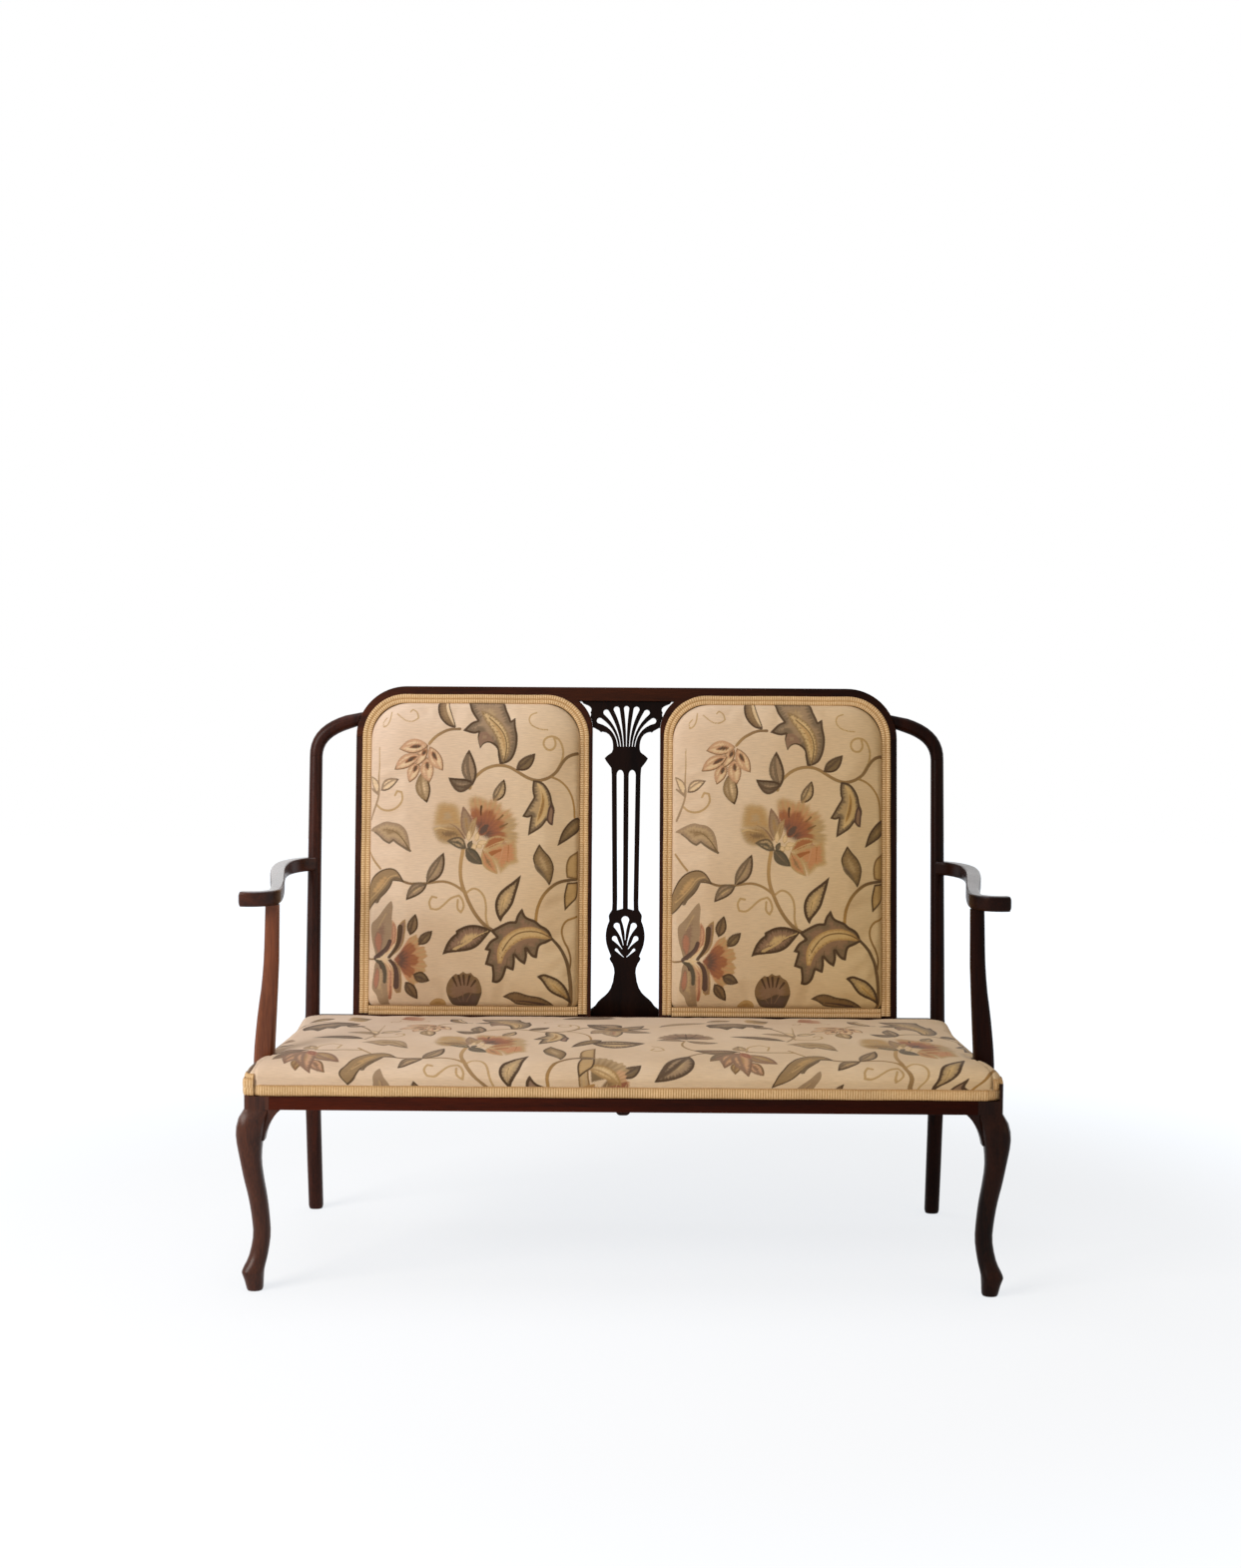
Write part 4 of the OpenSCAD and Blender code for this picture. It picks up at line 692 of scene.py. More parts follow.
    # blossom
    stem(c, [(627, 740), (614, 817), (617, 882), (632, 930), (664, 1005), (700, 1060), (740, 1098),
        (765, 1112)], 17, ("gold", "brown"))
    shape(c, [(656, 568), (650, 515), (660, 503), (679, 496), (711, 503), (744, 518), (758, 548),
        (718, 580)], ("haze", "olive", "olive"), 0, soft=9)
    shape(c, [(491, 634), (492, 592), (500, 560), (505, 534), (538, 522), (556, 530), (575, 526),
        (606, 546), (616, 597), (640, 655), (614, 668)], ("haze", "gold", "sage"), 0, soft=9)
    shape(c, [(485, 640), (491, 668), (506, 702), (540, 720), (582, 718), (632, 704), (640, 660),
        (600, 626), (560, 622), (520, 630)], ("sage", "tan", "brown"), 0, soft=6)
    stroke(c, [(496, 650), (520, 641), (548, 650), (580, 654)], 10, "straw", (0.9, 0.3))
    stroke(c, [(560, 622), (600, 640), (634, 690)], 10, "mauve", (0.3, 0.9))
    fan(c, (706, 676), 176, 66, 92, ("rust", "salmon", "haze"), 10, 0.16, 10)
    fan(c, (712, 668), 168, 6, 50, ("tan", "haze", "sage"), 6, 0.16, 9)
    shape(c, [(724, 745), (776, 716), (820, 706), (866, 690), (872, 720), (876, 745), (874, 770),
        (882, 797), (870, 806), (838, 812), (822, 830), (799, 850), (776, 800)],
        ("haze", "salmon", "salmon"), 0, soft=6)
    stroke(c, [(750, 764), (775, 752), (800, 744)], 26, "rust", (0.9, 0.4))
    stroke(c, [(790, 815), (800, 780), (812, 730)], 5, "blush", (0.5, 1))
    stroke(c, [(830, 800), (835, 760), (836, 720)], 5, "rust", (0.5, 1))
    fan(c, (704, 672), 124, 46, 150, ("plum", "brick", "rust"), 11, 0.24, 8)
    shape(c, [(690, 672), (700, 640), (722, 618), (752, 620), (748, 650), (730, 672), (712, 680)],
        ("brick", "plum", "plum"), 0)
    stroke(c, [(708, 584), (707, 560), (709, 543)], 11, "umber", (0.5, 1))
    stroke(c, [(742, 588), (748, 566)], 6, "brick", (0.5, 1))
    stroke(c, [(784, 606), (798, 594), (808, 584)], 10, "brown", (0.5, 1))
    stroke(c, [(797, 638), (814, 630), (830, 622)], 12, "brown", (0.9, 0.6))
    leaf(c, (648, 692), (624, 541), 56, 0.03, ("mauve", "steel", "tan"), 0, vein="mauve")
    leaf(c, (665, 690), (690, 590), 30, -0.1, ("tan", "sage", "tan"), 0, vein=None)
    leaf(c, (718, 742), (836, 690), 50, -0.1, ("haze", "rust", "rust"), 0, vein=None)
    stroke(c, [(724, 740), (770, 716), (806, 704)], 5, "straw", (0.6, 1))
    leaf(c, (716, 744), (788, 856), 58, 0.06, ("haze", "salmon", "olive"), 0, vein="brick")
    leaf(c, (642, 738), (552, 704), 50, 0.14, ("teal", "sage", "teal"), 5, "slate", "teal")
    leaf(c, (640, 735), (716, 810), 56, 0.05, ("teal", "teal", "slate"), 6, "teal", "steel")
    leaf(c, (650, 738), (668, 700), 26, 0, ("teal", "teal", "slate"), 0, vein=None)
    for base, tip in (((652, 704), (654, 650)), ((686, 706), (694, 660)), ((692, 712), (740, 708)),
        ((688, 722), (716, 732)), ((672, 716), (684, 744))):
        leaf(c, base, tip, 22, 0, ("cream", "cream", "cream"), 2, "tan", vein=None)
    # leaf pair mid-left
    stem(c, [(337, 884), (378, 902), (420, 900), (461, 900), (502, 892), (543, 889), (584, 902),
        (620, 925), (640, 945)], 12, ("brown", "tan"))
    leaf(c, (461, 899), (538, 758), 64, 0.05, ("slate", "steel", "sage"), 7, "bark", "sage")
    leaf(c, (462, 903), (366, 976), 56, 0.1, ("slate", "steel", "straw"), 6, "bark", "slate")
    # left-edge leaf
    stem(c, [(180, 758), (193, 774), (214, 804), (239, 833)], 10, ("tan", "tan"))
    shape(c, [(120, 1010), (150, 960), (178, 915), (203, 871), (239, 840), (286, 828), (317, 838),
        (337, 862), (356, 895), (327, 889), (301, 887), (291, 912), (270, 943), (239, 969), (229, 992),
        (219, 980), (198, 1010), (170, 1036), (120, 1060)], ("olive", "olive", "gold"), 5)
    stroke(c, [(345, 888), (320, 872), (296, 882), (278, 915), (240, 958), (222, 985)], 15, "slate", (0.5,
        1.2))
    stroke(c, [(320, 862), (285, 868), (262, 902), (225, 945), (180, 985)], 6, "haze")
    # upright leaf
    shape(c, [(803, 1074), (783, 1040), (776, 1000), (782, 965), (800, 935), (830, 910), (858, 890),
        (893, 860), (884, 900), (866, 960), (858, 990), (835, 1025), (812, 1050)],
        ("umber", "sage", "straw"), 9, "umber")
    stroke(c, [(806, 1060), (808, 1010), (818, 970)], 4, "olive")
    # right leaf
    stem(c, [(965, 1067), (970, 1015), (991, 959), (1022, 923), (1063, 892), (1104, 882), (1160, 876)], 15,
        ("ochre", "umber"))
    shape(c, [(1026, 905), (1014, 885), (990, 860), (962, 835), (953, 800), (948, 775), (962, 745),
        (978, 716), (1000, 745), (1030, 775), (1048, 815), (1044, 855), (1034, 890)],
        ("moss", "olive", "sage"), 5, "umber")
    shape(c, [(1022, 893), (1000, 866), (965, 838), (955, 805), (975, 815), (1000, 845)],
        ("slate", "slate", "umber"), 0)
    shape(c, [(1165, 745), (1140, 758), (1115, 775), (1102, 820), (1108, 868), (1165, 880)],
        ("tan", "haze", "haze"), 6, "brown")
    shape(c, [(1165, 890), (1110, 893), (1094, 950), (1100, 1020), (1130, 990), (1165, 960)],
        ("tan", "haze", "haze"), 6, "umber")
    # big serrated leaf
    stem(c, [(1040, 1149), (1078, 1190), (1104, 1242), (1119, 1293), (1127, 1355), (1132, 1470)], 15,
        ("umber", "brown"), (0.9, 1.4))
    stem(c, [(1160, 1052), (1140, 1057), (1104, 1067), (1083, 1108), (1094, 1160), (1119, 1201),
        (1130, 1252), (1122, 1293)], 10, ("ochre", "brown"))
    shape(c, [(1044, 1152), (1032, 1118), (1011, 1098), (986, 1088), (965, 1067), (934, 1057), (914, 1046),
        (901, 1012), (878, 1041), (870, 1072), (842, 1070), (805, 1088), (757, 1115), (775, 1134),
        (785, 1144), (754, 1160), (731, 1201), (751, 1206), (733, 1268), (764, 1278), (769, 1319),
        (765, 1350), (790, 1357), (816, 1335), (831, 1283), (847, 1291), (863, 1296), (870, 1257),
        (867, 1226), (888, 1252), (915, 1268), (926, 1232), (921, 1196), (944, 1232), (970, 1239),
        (975, 1201), (983, 1178), (1011, 1170)], ("slate", "mauve", "steel"), 9, "umber")
    shape(c, [(1040, 1146), (1001, 1110), (950, 1094), (898, 1098), (847, 1118), (803, 1160), (785, 1208),
        (792, 1262), (808, 1265), (822, 1222), (850, 1188), (886, 1160), (929, 1146), (975, 1146),
        (1022, 1152)], ("gold", "straw", "straw"), 0)
    stroke(c, [(1040, 1148), (991, 1121), (939, 1114), (888, 1122), (855, 1142), (829, 1175), (812, 1205)],
        7, "brown")
    for spot in ((898, 1149), (880, 1160), (862, 1169), (844, 1182), (826, 1202), (808, 1234), (800, 1216),
        (806, 1190)):
        stroke(c, [spot, (spot[0] + 4, spot[1] + 3)], 5, "brown")
    stroke(c, [(921, 1196), (930, 1170)], 5, "slate")
    stroke(c, [(867, 1226), (872, 1196)], 5, "slate")
    stroke(c, [(831, 1283), (835, 1240)], 5, "slate")
    # leaf left of it
    shape(c, [(760, 1112), (720, 1095), (690, 1088), (650, 1090), (618, 1104), (598, 1116), (600, 1128),
        (580, 1142), (555, 1175), (538, 1224), (560, 1216), (600, 1212), (660, 1205), (700, 1185),
        (730, 1150)], ("umber", "mauve", "straw"), 8, "umber")
    stroke(c, [(745, 1118), (700, 1135), (650, 1170), (590, 1200)], 13, "straw", (0.4, 1))
    stroke(c, [(740, 1122), (700, 1140), (655, 1168), (620, 1178)], 5, "umber")
    # flower bottom left
    stem(c, [(160, 1264), (175, 1260), (221, 1250)], 9, ("tan", "brown"))
    fan(c, (318, 1249), 150, -1, 118, ("rust", "salmon", "haze"), 12, 0.16)
    fan(c, (312, 1249), 116, -1, 106, ("brick", "brick", "rust"), 9, 0.3)
    fan(c, (312, 1249), 72, 0, 90, ("brick", "plum", "brick"), 6, 0.2)
    leaf(c, (386, 1136), (411, 1040), 50, 0, ("umber", "brown", "brown"), 5, "umber")
    leaf(c, (426, 1180), (489, 1116), 46, 0, ("umber", "moss", "olive"), 5, "umber")
    leaf(c, (404, 1316), (478, 1346), 50, 0, ("umber", "moss", "plum"), 5, "umber")
    leaf(c, (368, 1350), (420, 1434), 50, 0, ("umber", "brown", "brown"), 5, "umber")
    shape(c, [(302, 1068), (321, 1095), (325, 1136), (318, 1177), (298, 1212), (254, 1244), (270, 1215),
        (290, 1175), (297, 1140), (294, 1100)], ("blush", "rose", "blush"), 0)
    shape(c, [(225, 1246), (212, 1198), (201, 1164), (194, 1123), (196, 1089), (218, 1070), (237, 1048),
        (256, 1022), (280, 990), (295, 979), (302, 1003), (300, 1034), (297, 1072), (302, 1100),
        (298, 1150), (287, 1185), (264, 1215), (240, 1242)], ("steel", "steel", "mauve"), 0)
    shape(c, [(232, 1222), (216, 1190), (214, 1150), (226, 1122), (244, 1126), (256, 1150), (256, 1190),
        (244, 1222)], ("mauve", "rose", "rose"), 0)
    stroke(c, [(290, 1166), (279, 1198), (254, 1222), (225, 1245)], 27, "plum", (0.7, 0.9))
    stroke(c, [(232, 1110), (246, 1080), (270, 1040)], 8, "sage", (0.6, 1))
    shape(c, [(326, 1104), (340, 1076), (364, 1062), (366, 1100), (362, 1140), (357, 1175), (332, 1212),
        (289, 1243), (316, 1190), (324, 1145)], ("tan", "mauve", "mauve"), 0)
    stroke(c, [(338, 1100), (338, 1145), (328, 1186), (290, 1240)], 25, "umber", (1, 0.6))
    stroke(c, [(256, 1243), (290, 1214), (312, 1178)], 13, "cream", (1.1, 0.5))
    shape(c, [(234, 1249), (218, 1275), (213, 1317), (205, 1369), (206, 1393), (229, 1413), (236, 1447),
        (241, 1470), (284, 1470), (287, 1403), (284, 1369), (286, 1300), (268, 1266), (248, 1249)],
        ("steel", "steel", "sage"), 0)
    shape(c, [(226, 1290), (216, 1330), (212, 1370), (226, 1392), (242, 1372), (246, 1320), (240, 1290)],
        ("mauve", "rose", "rose"), 0)
    stroke(c, [(228, 1250), (258, 1272), (272, 1310), (270, 1352)], 27, "teal", (0.9, 0.6))
    stroke(c, [(228, 1252), (246, 1268), (252, 1290)], 16, "plum", (1, 0.6))
    shape(c, [(254, 1249), (289, 1264), (308, 1294), (314, 1335), (311, 1369), (304, 1420), (289, 1442),
        (284, 1403), (283, 1369), (286, 1310), (272, 1270)], ("blush", "blush", "rose"), 0)
    stroke(c, [(262, 1252), (286, 1272), (298, 1300)], 12, "cream", (1, 0.4))
    stroke(c, [(299, 1370), (298, 1400), (292, 1430)], 14, "rose", (0.5, 1))
    shape(c, [(282, 1246), (316, 1257), (343, 1283), (349, 1320), (352, 1360), (346, 1400), (326, 1406),
        (312, 1388), (312, 1330), (310, 1295), (299, 1266)], ("tan", "mauve", "tan"), 0)
    stroke(c, [(290, 1248), (318, 1276), (326, 1320), (324, 1372)], 26, "plum", (0.6, 1))
    leaf(c, (224, 1250), (300, 1247), 12, 0, ("cream", "cream", "cream"), 0, vein=None)
    # thistle
    shape(c, [(552, 1400), (556, 1365), (574, 1332), (598, 1312), (612, 1318), (632, 1302), (648, 1314),
        (668, 1308), (680, 1324), (700, 1332), (714, 1365), (720, 1400), (706, 1440), (690, 1480),
        (590, 1480), (566, 1440)], ("brown", "mauve", "mauve"), 0)
    shape(c, [(560, 1410), (580, 1430), (620, 1420), (650, 1400), (690, 1410), (718, 1400), (706, 1440),
        (690, 1480), (590, 1480), (566, 1440)], ("umber", "plum", "plum"), 0)
    for root, tip in (((604, 1372), (586, 1330)), ((622, 1368), (612, 1322)), ((637, 1366), (634, 1320)),
        ((652, 1368), (662, 1324)), ((668, 1374), (688, 1346))):
        stroke(c, [root, tip], 12, "umber", (0.5, 1))
    for root, tip in (((646, 1446), (670, 1404)), ((632, 1446), (630, 1400)), ((618, 1448), (596, 1412))):
        stroke(c, [root, tip], 6, "mauve", (0.6, 1))
    # bottom leaves
    shape(c, [(811, 1422), (847, 1399), (883, 1394), (929, 1412), (980, 1417), (1032, 1443), (1060, 1470),
        (888, 1470), (847, 1434)], ("umber", "brown", "brown"), 0)
    stroke(c, [(880, 1440), (940, 1445), (1010, 1460)], 12, "plum", (0.5, 1))
    shape(c, [(970, 1322), (1001, 1309), (1032, 1320), (1068, 1335), (1099, 1365), (1119, 1401),
        (1134, 1455), (1099, 1427), (1063, 1412), (1027, 1391), (1006, 1360), (991, 1338)],
        ("slate", "sage", "straw"), 8, "umber")
    stroke(c, [(1110, 1420), (1075, 1390), (1045, 1362)], 6, "ochre")
    shape(c, [(471, 1456), (500, 1430), (530, 1430), (550, 1446), (550, 1475), (471, 1475)],
        ("gold", "gold", "ochre"), 0)


def seat_motifs(c):
    """What grows beside it, seen only on the seat."""
    # open flower right of the panel's cut
    stem(c, [(1150, 290), (1190, 300), (1240, 340)], 14, ("brown", "brown"))
    leaf(c, (1250, 350), (1118, 210), 150, 0.1, ("umber", "steel", "steel"), 7)
    leaf(c, (1240, 360), (1140, 450), 90, 0.1, ("steel", "sage", "olive"), 6)
    leaf(c, (1245, 365), (1250, 520), 90, 0.1, ("steel", "sage", "rose"), 6)
    leaf(c, (1255, 355), (1400, 420), 70, 0.1, ("slate", "steel", "mauve"), 6)
    leaf(c, (1255, 345), (1395, 330), 60, -0.1, ("slate", "steel", "mauve"), 6)
    leaf(c, (1250, 335), (1370, 240), 70, 0.1, ("slate", "steel", "sage"), 6)
    fan(c, (1245, 350), 60, 0, 330, ("umber", "brown", "gold"), 17, 0.2)
    leaf(c, (1142, 652), (1372, 650), 120, 0.1, ("umber", "sage", "straw"), 7)
    leaf(c, (1245, -40), (1000, 0), 100, 0.1, ("umber", "brown", "mauve"), 6)
    # tulip-like flower
    stem(c, [(1104, 882), (1150, 880)], 15, ("umber", "brown"))
    leaf(c, (1260, 1010), (1355, 950), 60, 0.1, ("umber", "moss", "slate"), 6)
    fan(c, (1150, 1040), 165, 52, 76, ("moss", "olive", "sage"), 7, 0.1)
    fan(c, (1190, 1060), 120, 20, 60, ("brown", "tan", "blush"), 7, 0.14)
    shape(c, [(1095, 1150), (1097, 1030), (1110, 890), (1098, 850), (1120, 824), (1150, 830), (1150, 900),
        (1138, 1000), (1150, 1150)], ("tan", "sage", "haze"), 5, "brown")
    shape(c, [(1130, 1150), (1132, 1050), (1200, 1068), (1299, 1035), (1310, 1150)],
        ("brick", "brick", "rust"), 0)
    for k in range(4):
        stroke(c, [(1150 + k*40, 1150), (1175 + k*40, 1050)], 4, "straw")
    leaf(c, (1132, 960), (1275, 1056), 62, -0.1, ("tan", "straw", "cream"), 5, "tan", None)
    # leaves between
    leaf(c, (1652, 120), (1436, 270), 66, 0.1, ("steel", "sage", "olive"), 5)
    stem(c, [(1652, 120), (1700, 90), (1760, 110), (1830, 160)], 10, ("brown", "tan"))
    stem(c, [(1540, 600), (1520, 680), (1560, 760), (1640, 800), (1760, 780)], 10, ("tan", "brown"))
    leaf(c, (1540, 600), (1420, 590), 40, 0.1, ("slate", "steel", "steel"), 5)
    leaf(c, (1545, 600), (1680, 640), 40, 0.1, ("slate", "steel", "steel"), 5)
    fan(c, (1547, 560), 120, 90, 190, ("umber", "mauve", "steel"), 11, 0.1)
    for tip in ((1460, 500), (1500, 462), (1547, 448), (1594, 462), (1634, 500)):
        stroke(c, [(1547, 575), tip], 7, "umber", (0.4, 1))
    curl(c, (1400, 700), (1440, 720), (1450, 760), (1420, 780), (1395, 760), (1410, 735), width=8)
    leaf(c, (1552, 848), (1412, 1038), 112, -0.12, ("umber", "steel", "sage"), 7)
    stem(c, [(1552, 848), (1590, 810), (1640, 800)], 10, ("brown", "brown"))
    # pink flower
    leaf(c, (1755, 775), (1572, 760), 70, -0.12, ("slate", "mauve", "steel"), 6, "umber")
    leaf(c, (1760, 690), (1800, 770), 60, 0.2, ("steel", "sage", "cream"), 5, "steel")
    stem(c, [(1790, 780), (1850, 790), (1930, 785), (1990, 790)], 10, ("brown", "tan"))
    stem(c, [(1790, 770), (1800, 700), (1850, 670), (1890, 700), (1880, 760)], 9, ("haze", "haze"))
    for base, tip, width, tones, ink in (
        ((1749, 798), (1635, 911), 76, ("slate", "mauve", "mauve"), "brown"),
        ((1792, 821), (1909, 934), 88, ("mauve", "tan", "sage"), "mauve"),
        ((1755, 798), (1692, 962), 80, ("mauve", "blush", "tan"), "mauve"),
        ((1753, 915), (1736, 999), 46, ("brown", "tan", "brown"), "brown"),
        ((1800, 923), (1853, 1005), 56, ("mauve", "blush", "brown"), "brown"),
        ((1765, 790), (1792, 1010), 86, ("mauve", "blush", "tan"), "mauve"),
    ):
        leaf(c, base, tip, width, 0.06, tones, 6, ink, "rose")
    leaf(c, (1769, 790), (1804, 876), 42, 0, ("rose", "brick", "rose"), 0, vein=None)
    leaf(c, (1602, 1180), (1602, 1082), 70, 0, ("umber", "slate", "steel"), 6)
    # large slate leaf and its neighbours
    shape(c, [(1637, 210), (1680, 150), (1760, 130), (1850, 160), (1900, 215), (1873, 260), (1820, 250),
        (1800, 300), (1760, 270), (1730, 330), (1700, 280), (1660, 280)], ("umber", "slate", "steel"), 8,
        "umber")
    stem(c, [(1880, 230), (1940, 330), (1990, 450), (2010, 560)], 10, ("brown", "tan"))
    leaf(c, (1760, 20), (1650, 70), 60, 0.1, ("moss", "olive", "straw"), 6)
    leaf(c, (1966, 590), (1735, 500), 54, 0.08, ("umber", "slate", "steel"), 6)
    leaf(c, (2010, 500), (1873, 430), 46, 0.1, ("steel", "sage", "sage"), 5)
    fan(c, (1930, 40), 110, 200, 120, ("moss", "olive", "gold"), 9, 0.14)
    fan(c, (2060, 40), 110, 20, 120, ("rust", "rose", "blush"), 9, 0.14)
    leaf(c, (60, 250), (150, 290), 46, 0.1, ("umber", "steel", "steel"), 6)


def weave_design(x, y, shifts, whole):
    """The design at points of the sheet. shifts are the repeats that reach them, and whole adds what
    only the seat shows."""
    cloth = Cloth(x, y)
    for shift in shifts:
        cloth.shift = shift
        if whole:
            seat_motifs(cloth)
        panel_motifs(cloth)
    return cloth


def cover_material(name, dull, fresh):
    """Woven furnishing cloth: fine ribs, a soft sheen, and edges that step from thread to thread."""
    material, tree, output = new_material(name)
    uv = add_node(tree, "UVMap", {"uv_map": "cloth"}).outputs[0]
    # Threads are 0.5 mm apart on such cloth; ribs of 1.5 mm are drawn so that they show
    threads = add_node(
        tree, "TexWave", {"bands_direction": "Y"}, Vector=uv, Scale=210, Distortion=1.2, Detail=2
    )
    slub = add_node(tree, "Mapping", Vector=uv, Scale=(60, 600, 1)).outputs[0]
    slubs = add_node(tree, "TexNoise", Vector=slub, Scale=1, Detail=3)
    fuzz = add_node(tree, "TexNoise", Vector=uv, Scale=900, Detail=2)
    jitter = add_node(tree, "MapRange", Value=fuzz, From_Min=0.3, From_Max=0.7, To_Min=-1.2, To_Max=1.2)
    clouds = add_node(tree, "TexNoise", Vector=uv, Scale=7, Detail=2)
    ground = add_node(tree, "ValToRGB", Fac=clouds)
    two_tones(ground, 0.35, dull, 0.7, fresh)
    # Painted shade: the cloth is tinted yellower towards the right and the foot of each piece
    painted_shade = add_node(tree, "Attribute", {"attribute_name": "painted_shade"}).outputs["Fac"]
    colour = ground.outputs[0]
    for mask, tint, densest in (("cover", "dye", 0.94), ("line", "ink", 0.92)):
        distance = add_node(tree, "Attribute", {"attribute_name": mask}).outputs["Fac"]
        shaken = add_node(tree, "Math", i0=distance, i1=jitter).outputs[0]
        edge = add_node(
            tree, "MapRange", soft_step,
            Value=shaken, From_Min=dye_edge[0], From_Max=dye_edge[1], To_Max=densest,
        ).outputs[0]
        paint = add_node(tree, "Attribute", {"attribute_name": tint}).outputs["Color"]
        colour = add_node(tree, "Mix", rgba_mix, i0=edge, i6=colour, i7=paint).outputs[2]
    shade = add_node(tree, "MapRange", Value=slubs, From_Min=0.3, From_Max=0.7, To_Min=0.9, To_Max=1.06)
    woven = add_node(tree, "Mix", tint_mix, i0=1.0, i6=colour, i7=shade)
    # Painted shade: the ground and design are tinted yellow by the amount stored at each point
    tinted = add_node(tree, "Mix", tint_mix, i0=painted_shade, i6=woven.outputs[2], i7=linear("#ece6bf"))
    height = add_node(tree, "Math", multiply_add, i0=slubs, i1=0.8, i2=threads.outputs["Fac"])
    bump = add_node(tree, "Bump", Strength=0.22, Distance=0.0004, Height=height)
    shader = add_node(
        tree, "BsdfPrincipled",
        Base_Color=tinted.outputs[2], Roughness=0.72, Sheen_Weight=0.12, Sheen_Roughness=0.4,
        Specular_IOR_Level=0.3, Normal=bump,
    )
    tree.links.new(shader.outputs[0], output.inputs[0])
    return material


# Stuffed pieces. Each cushion's cloth is one sheet drawn down all round: a grid whose rings follow
# the cushion's rounded outline, from the tacked edge under the braid up over the stuffing.


def rounded_sides(corners, inset, radii):
    """Four sides of a rounded outline, each from the middle of one corner's arc to the next."""
    arcs = []
    for k, corner in enumerate(corners):
        before = (corners[k - 1] - corner).normalized()
        after = (corners[(k + 1) % 4] - corner).normalized()
        half = before.angle(after) / 2
        inward = (before + after).normalized()
        p = corner + inward * inset / math.sin(half)
        centre = p + inward * radii[k] / math.sin(half)
        start = p + before * radii[k] / math.tan(half) - centre
        finish = p + after * radii[k] / math.tan(half) - centre
        arcs.append((centre, start, finish, math.pi - 2 * half, radii[k]))
    return [(arcs[k], arcs[(k + 1) % 4]) for k in range(4)]


def point_on_side(side, share):
    """Point a share of the way along a side."""
    (c0, _, end0, sweep0, r0), (c1, start1, _, sweep1, r1) = side
    straight = (c1 + start1) - (c0 + end0)
    first, last = r0 * sweep0 / 2, r1 * sweep1 / 2
    along = share * (first + straight.length + last)
    if along < first:
        return c0 + turned(end0, -(first - along) / r0)
    if along < first + straight.length:
        return c0 + end0 + straight.normalized() * (along - first)
    return c1 + turned(start1, (along - first - straight.length) / r1)


def turned(vector, angle):
    """A flat vector turned anticlockwise."""
    c, s = math.cos(angle), math.sin(angle)
    return Vector((vector.x * c - vector.y * s, vector.x * s + vector.y * c))


def cushion_sheet(name, corners, edge_radii, profile, cells, place, puff):
    """Cloth over a cushion. corners run anticlockwise, profile is [(inset, height)] from the edge
    in, cells the grid's (across, up), place(x, y, height) puts a point in the frame."""
    nx, ny = cells
    rings = min(nx, ny) // 2
    inset_run, height_run = zip(*profile)
    steps = np.hypot(np.diff(inset_run), np.diff(height_run))
    run = np.concatenate([[0], np.cumsum(steps)])
    # Towards the middle each ring's corners open out, by a share of its inset and up to a share of
    # what is left
    opening, widest, middle_r, tight_r = 0.45, 0.8, 0.004, 0.001
    flat, loops = [], []
    for m in range(rings + 1):
        far = run[-1] * m / rings
        inset = float(np.interp(far, run, inset_run))
        depth = inset_run[-1] - inset
        radii = [min(r + max(inset, 0) * opening, widest * depth + middle_r) for r in edge_radii]
        loops.append((rounded_sides(corners, inset, radii), float(np.interp(far, run, height_run))))
        unfolded = inset_run[-1] - (run[-1] - far)
        spread = [max(r + max(unfolded, 0) * opening, tight_r) for r in edge_radii]
        spread = [min(r, widest * (inset_run[-1] - unfolded) + middle_r) for r in spread]
        flat.append(rounded_sides(corners, unfolded, spread))
    bm = bmesh.new()
    bmesh.ops.create_grid(bm, x_segments=nx, y_segments=ny, size=0.5)
    cloth_uv = bm.loops.layers.uv.new("cloth")
    spots = {}
    for vertex in bm.verts:
        i = round((vertex.co.x + 0.5) * nx)
        j = round((vertex.co.y + 0.5) * ny)
        m = min(i, nx - i, j, ny - j)
        if j == m:
            side, share = 0, (i - m) / max(nx - 2 * m, 1)
        elif i == nx - m:
            side, share = 1, (j - m) / max(ny - 2 * m, 1)
        elif j == ny - m:
            side, share = 2, (nx - m - i) / max(nx - 2 * m, 1)
        else:
            side, share = 3, (ny - m - j) / max(ny - 2 * m, 1)
        sides, height = loops[m]
        p = point_on_side(sides[side], share)
        q = point_on_side(flat[m][side], share)
        spots[vertex.index] = (q.x, q.y)
        vertex.co = place(p.x, p.y, height)
    for face in bm.faces:
        face.smooth = True
        for loop in face.loops:
            loop[cloth_uv].uv = spots[loop.vert.index]
    bmesh.ops.recalc_face_normals(bm, faces=bm.faces)
    sheet = piece_from(bm, name)
    stuff(sheet, puff)
    return subdivided(sheet, 2)


def vertex_values(mesh, name="co"):
    """A row of three for each vertex: its place, or another of its vectors."""
    values = np.empty(len(mesh.vertices) * 3)
    mesh.vertices.foreach_get(name, values)
    return values.reshape(-1, 3)


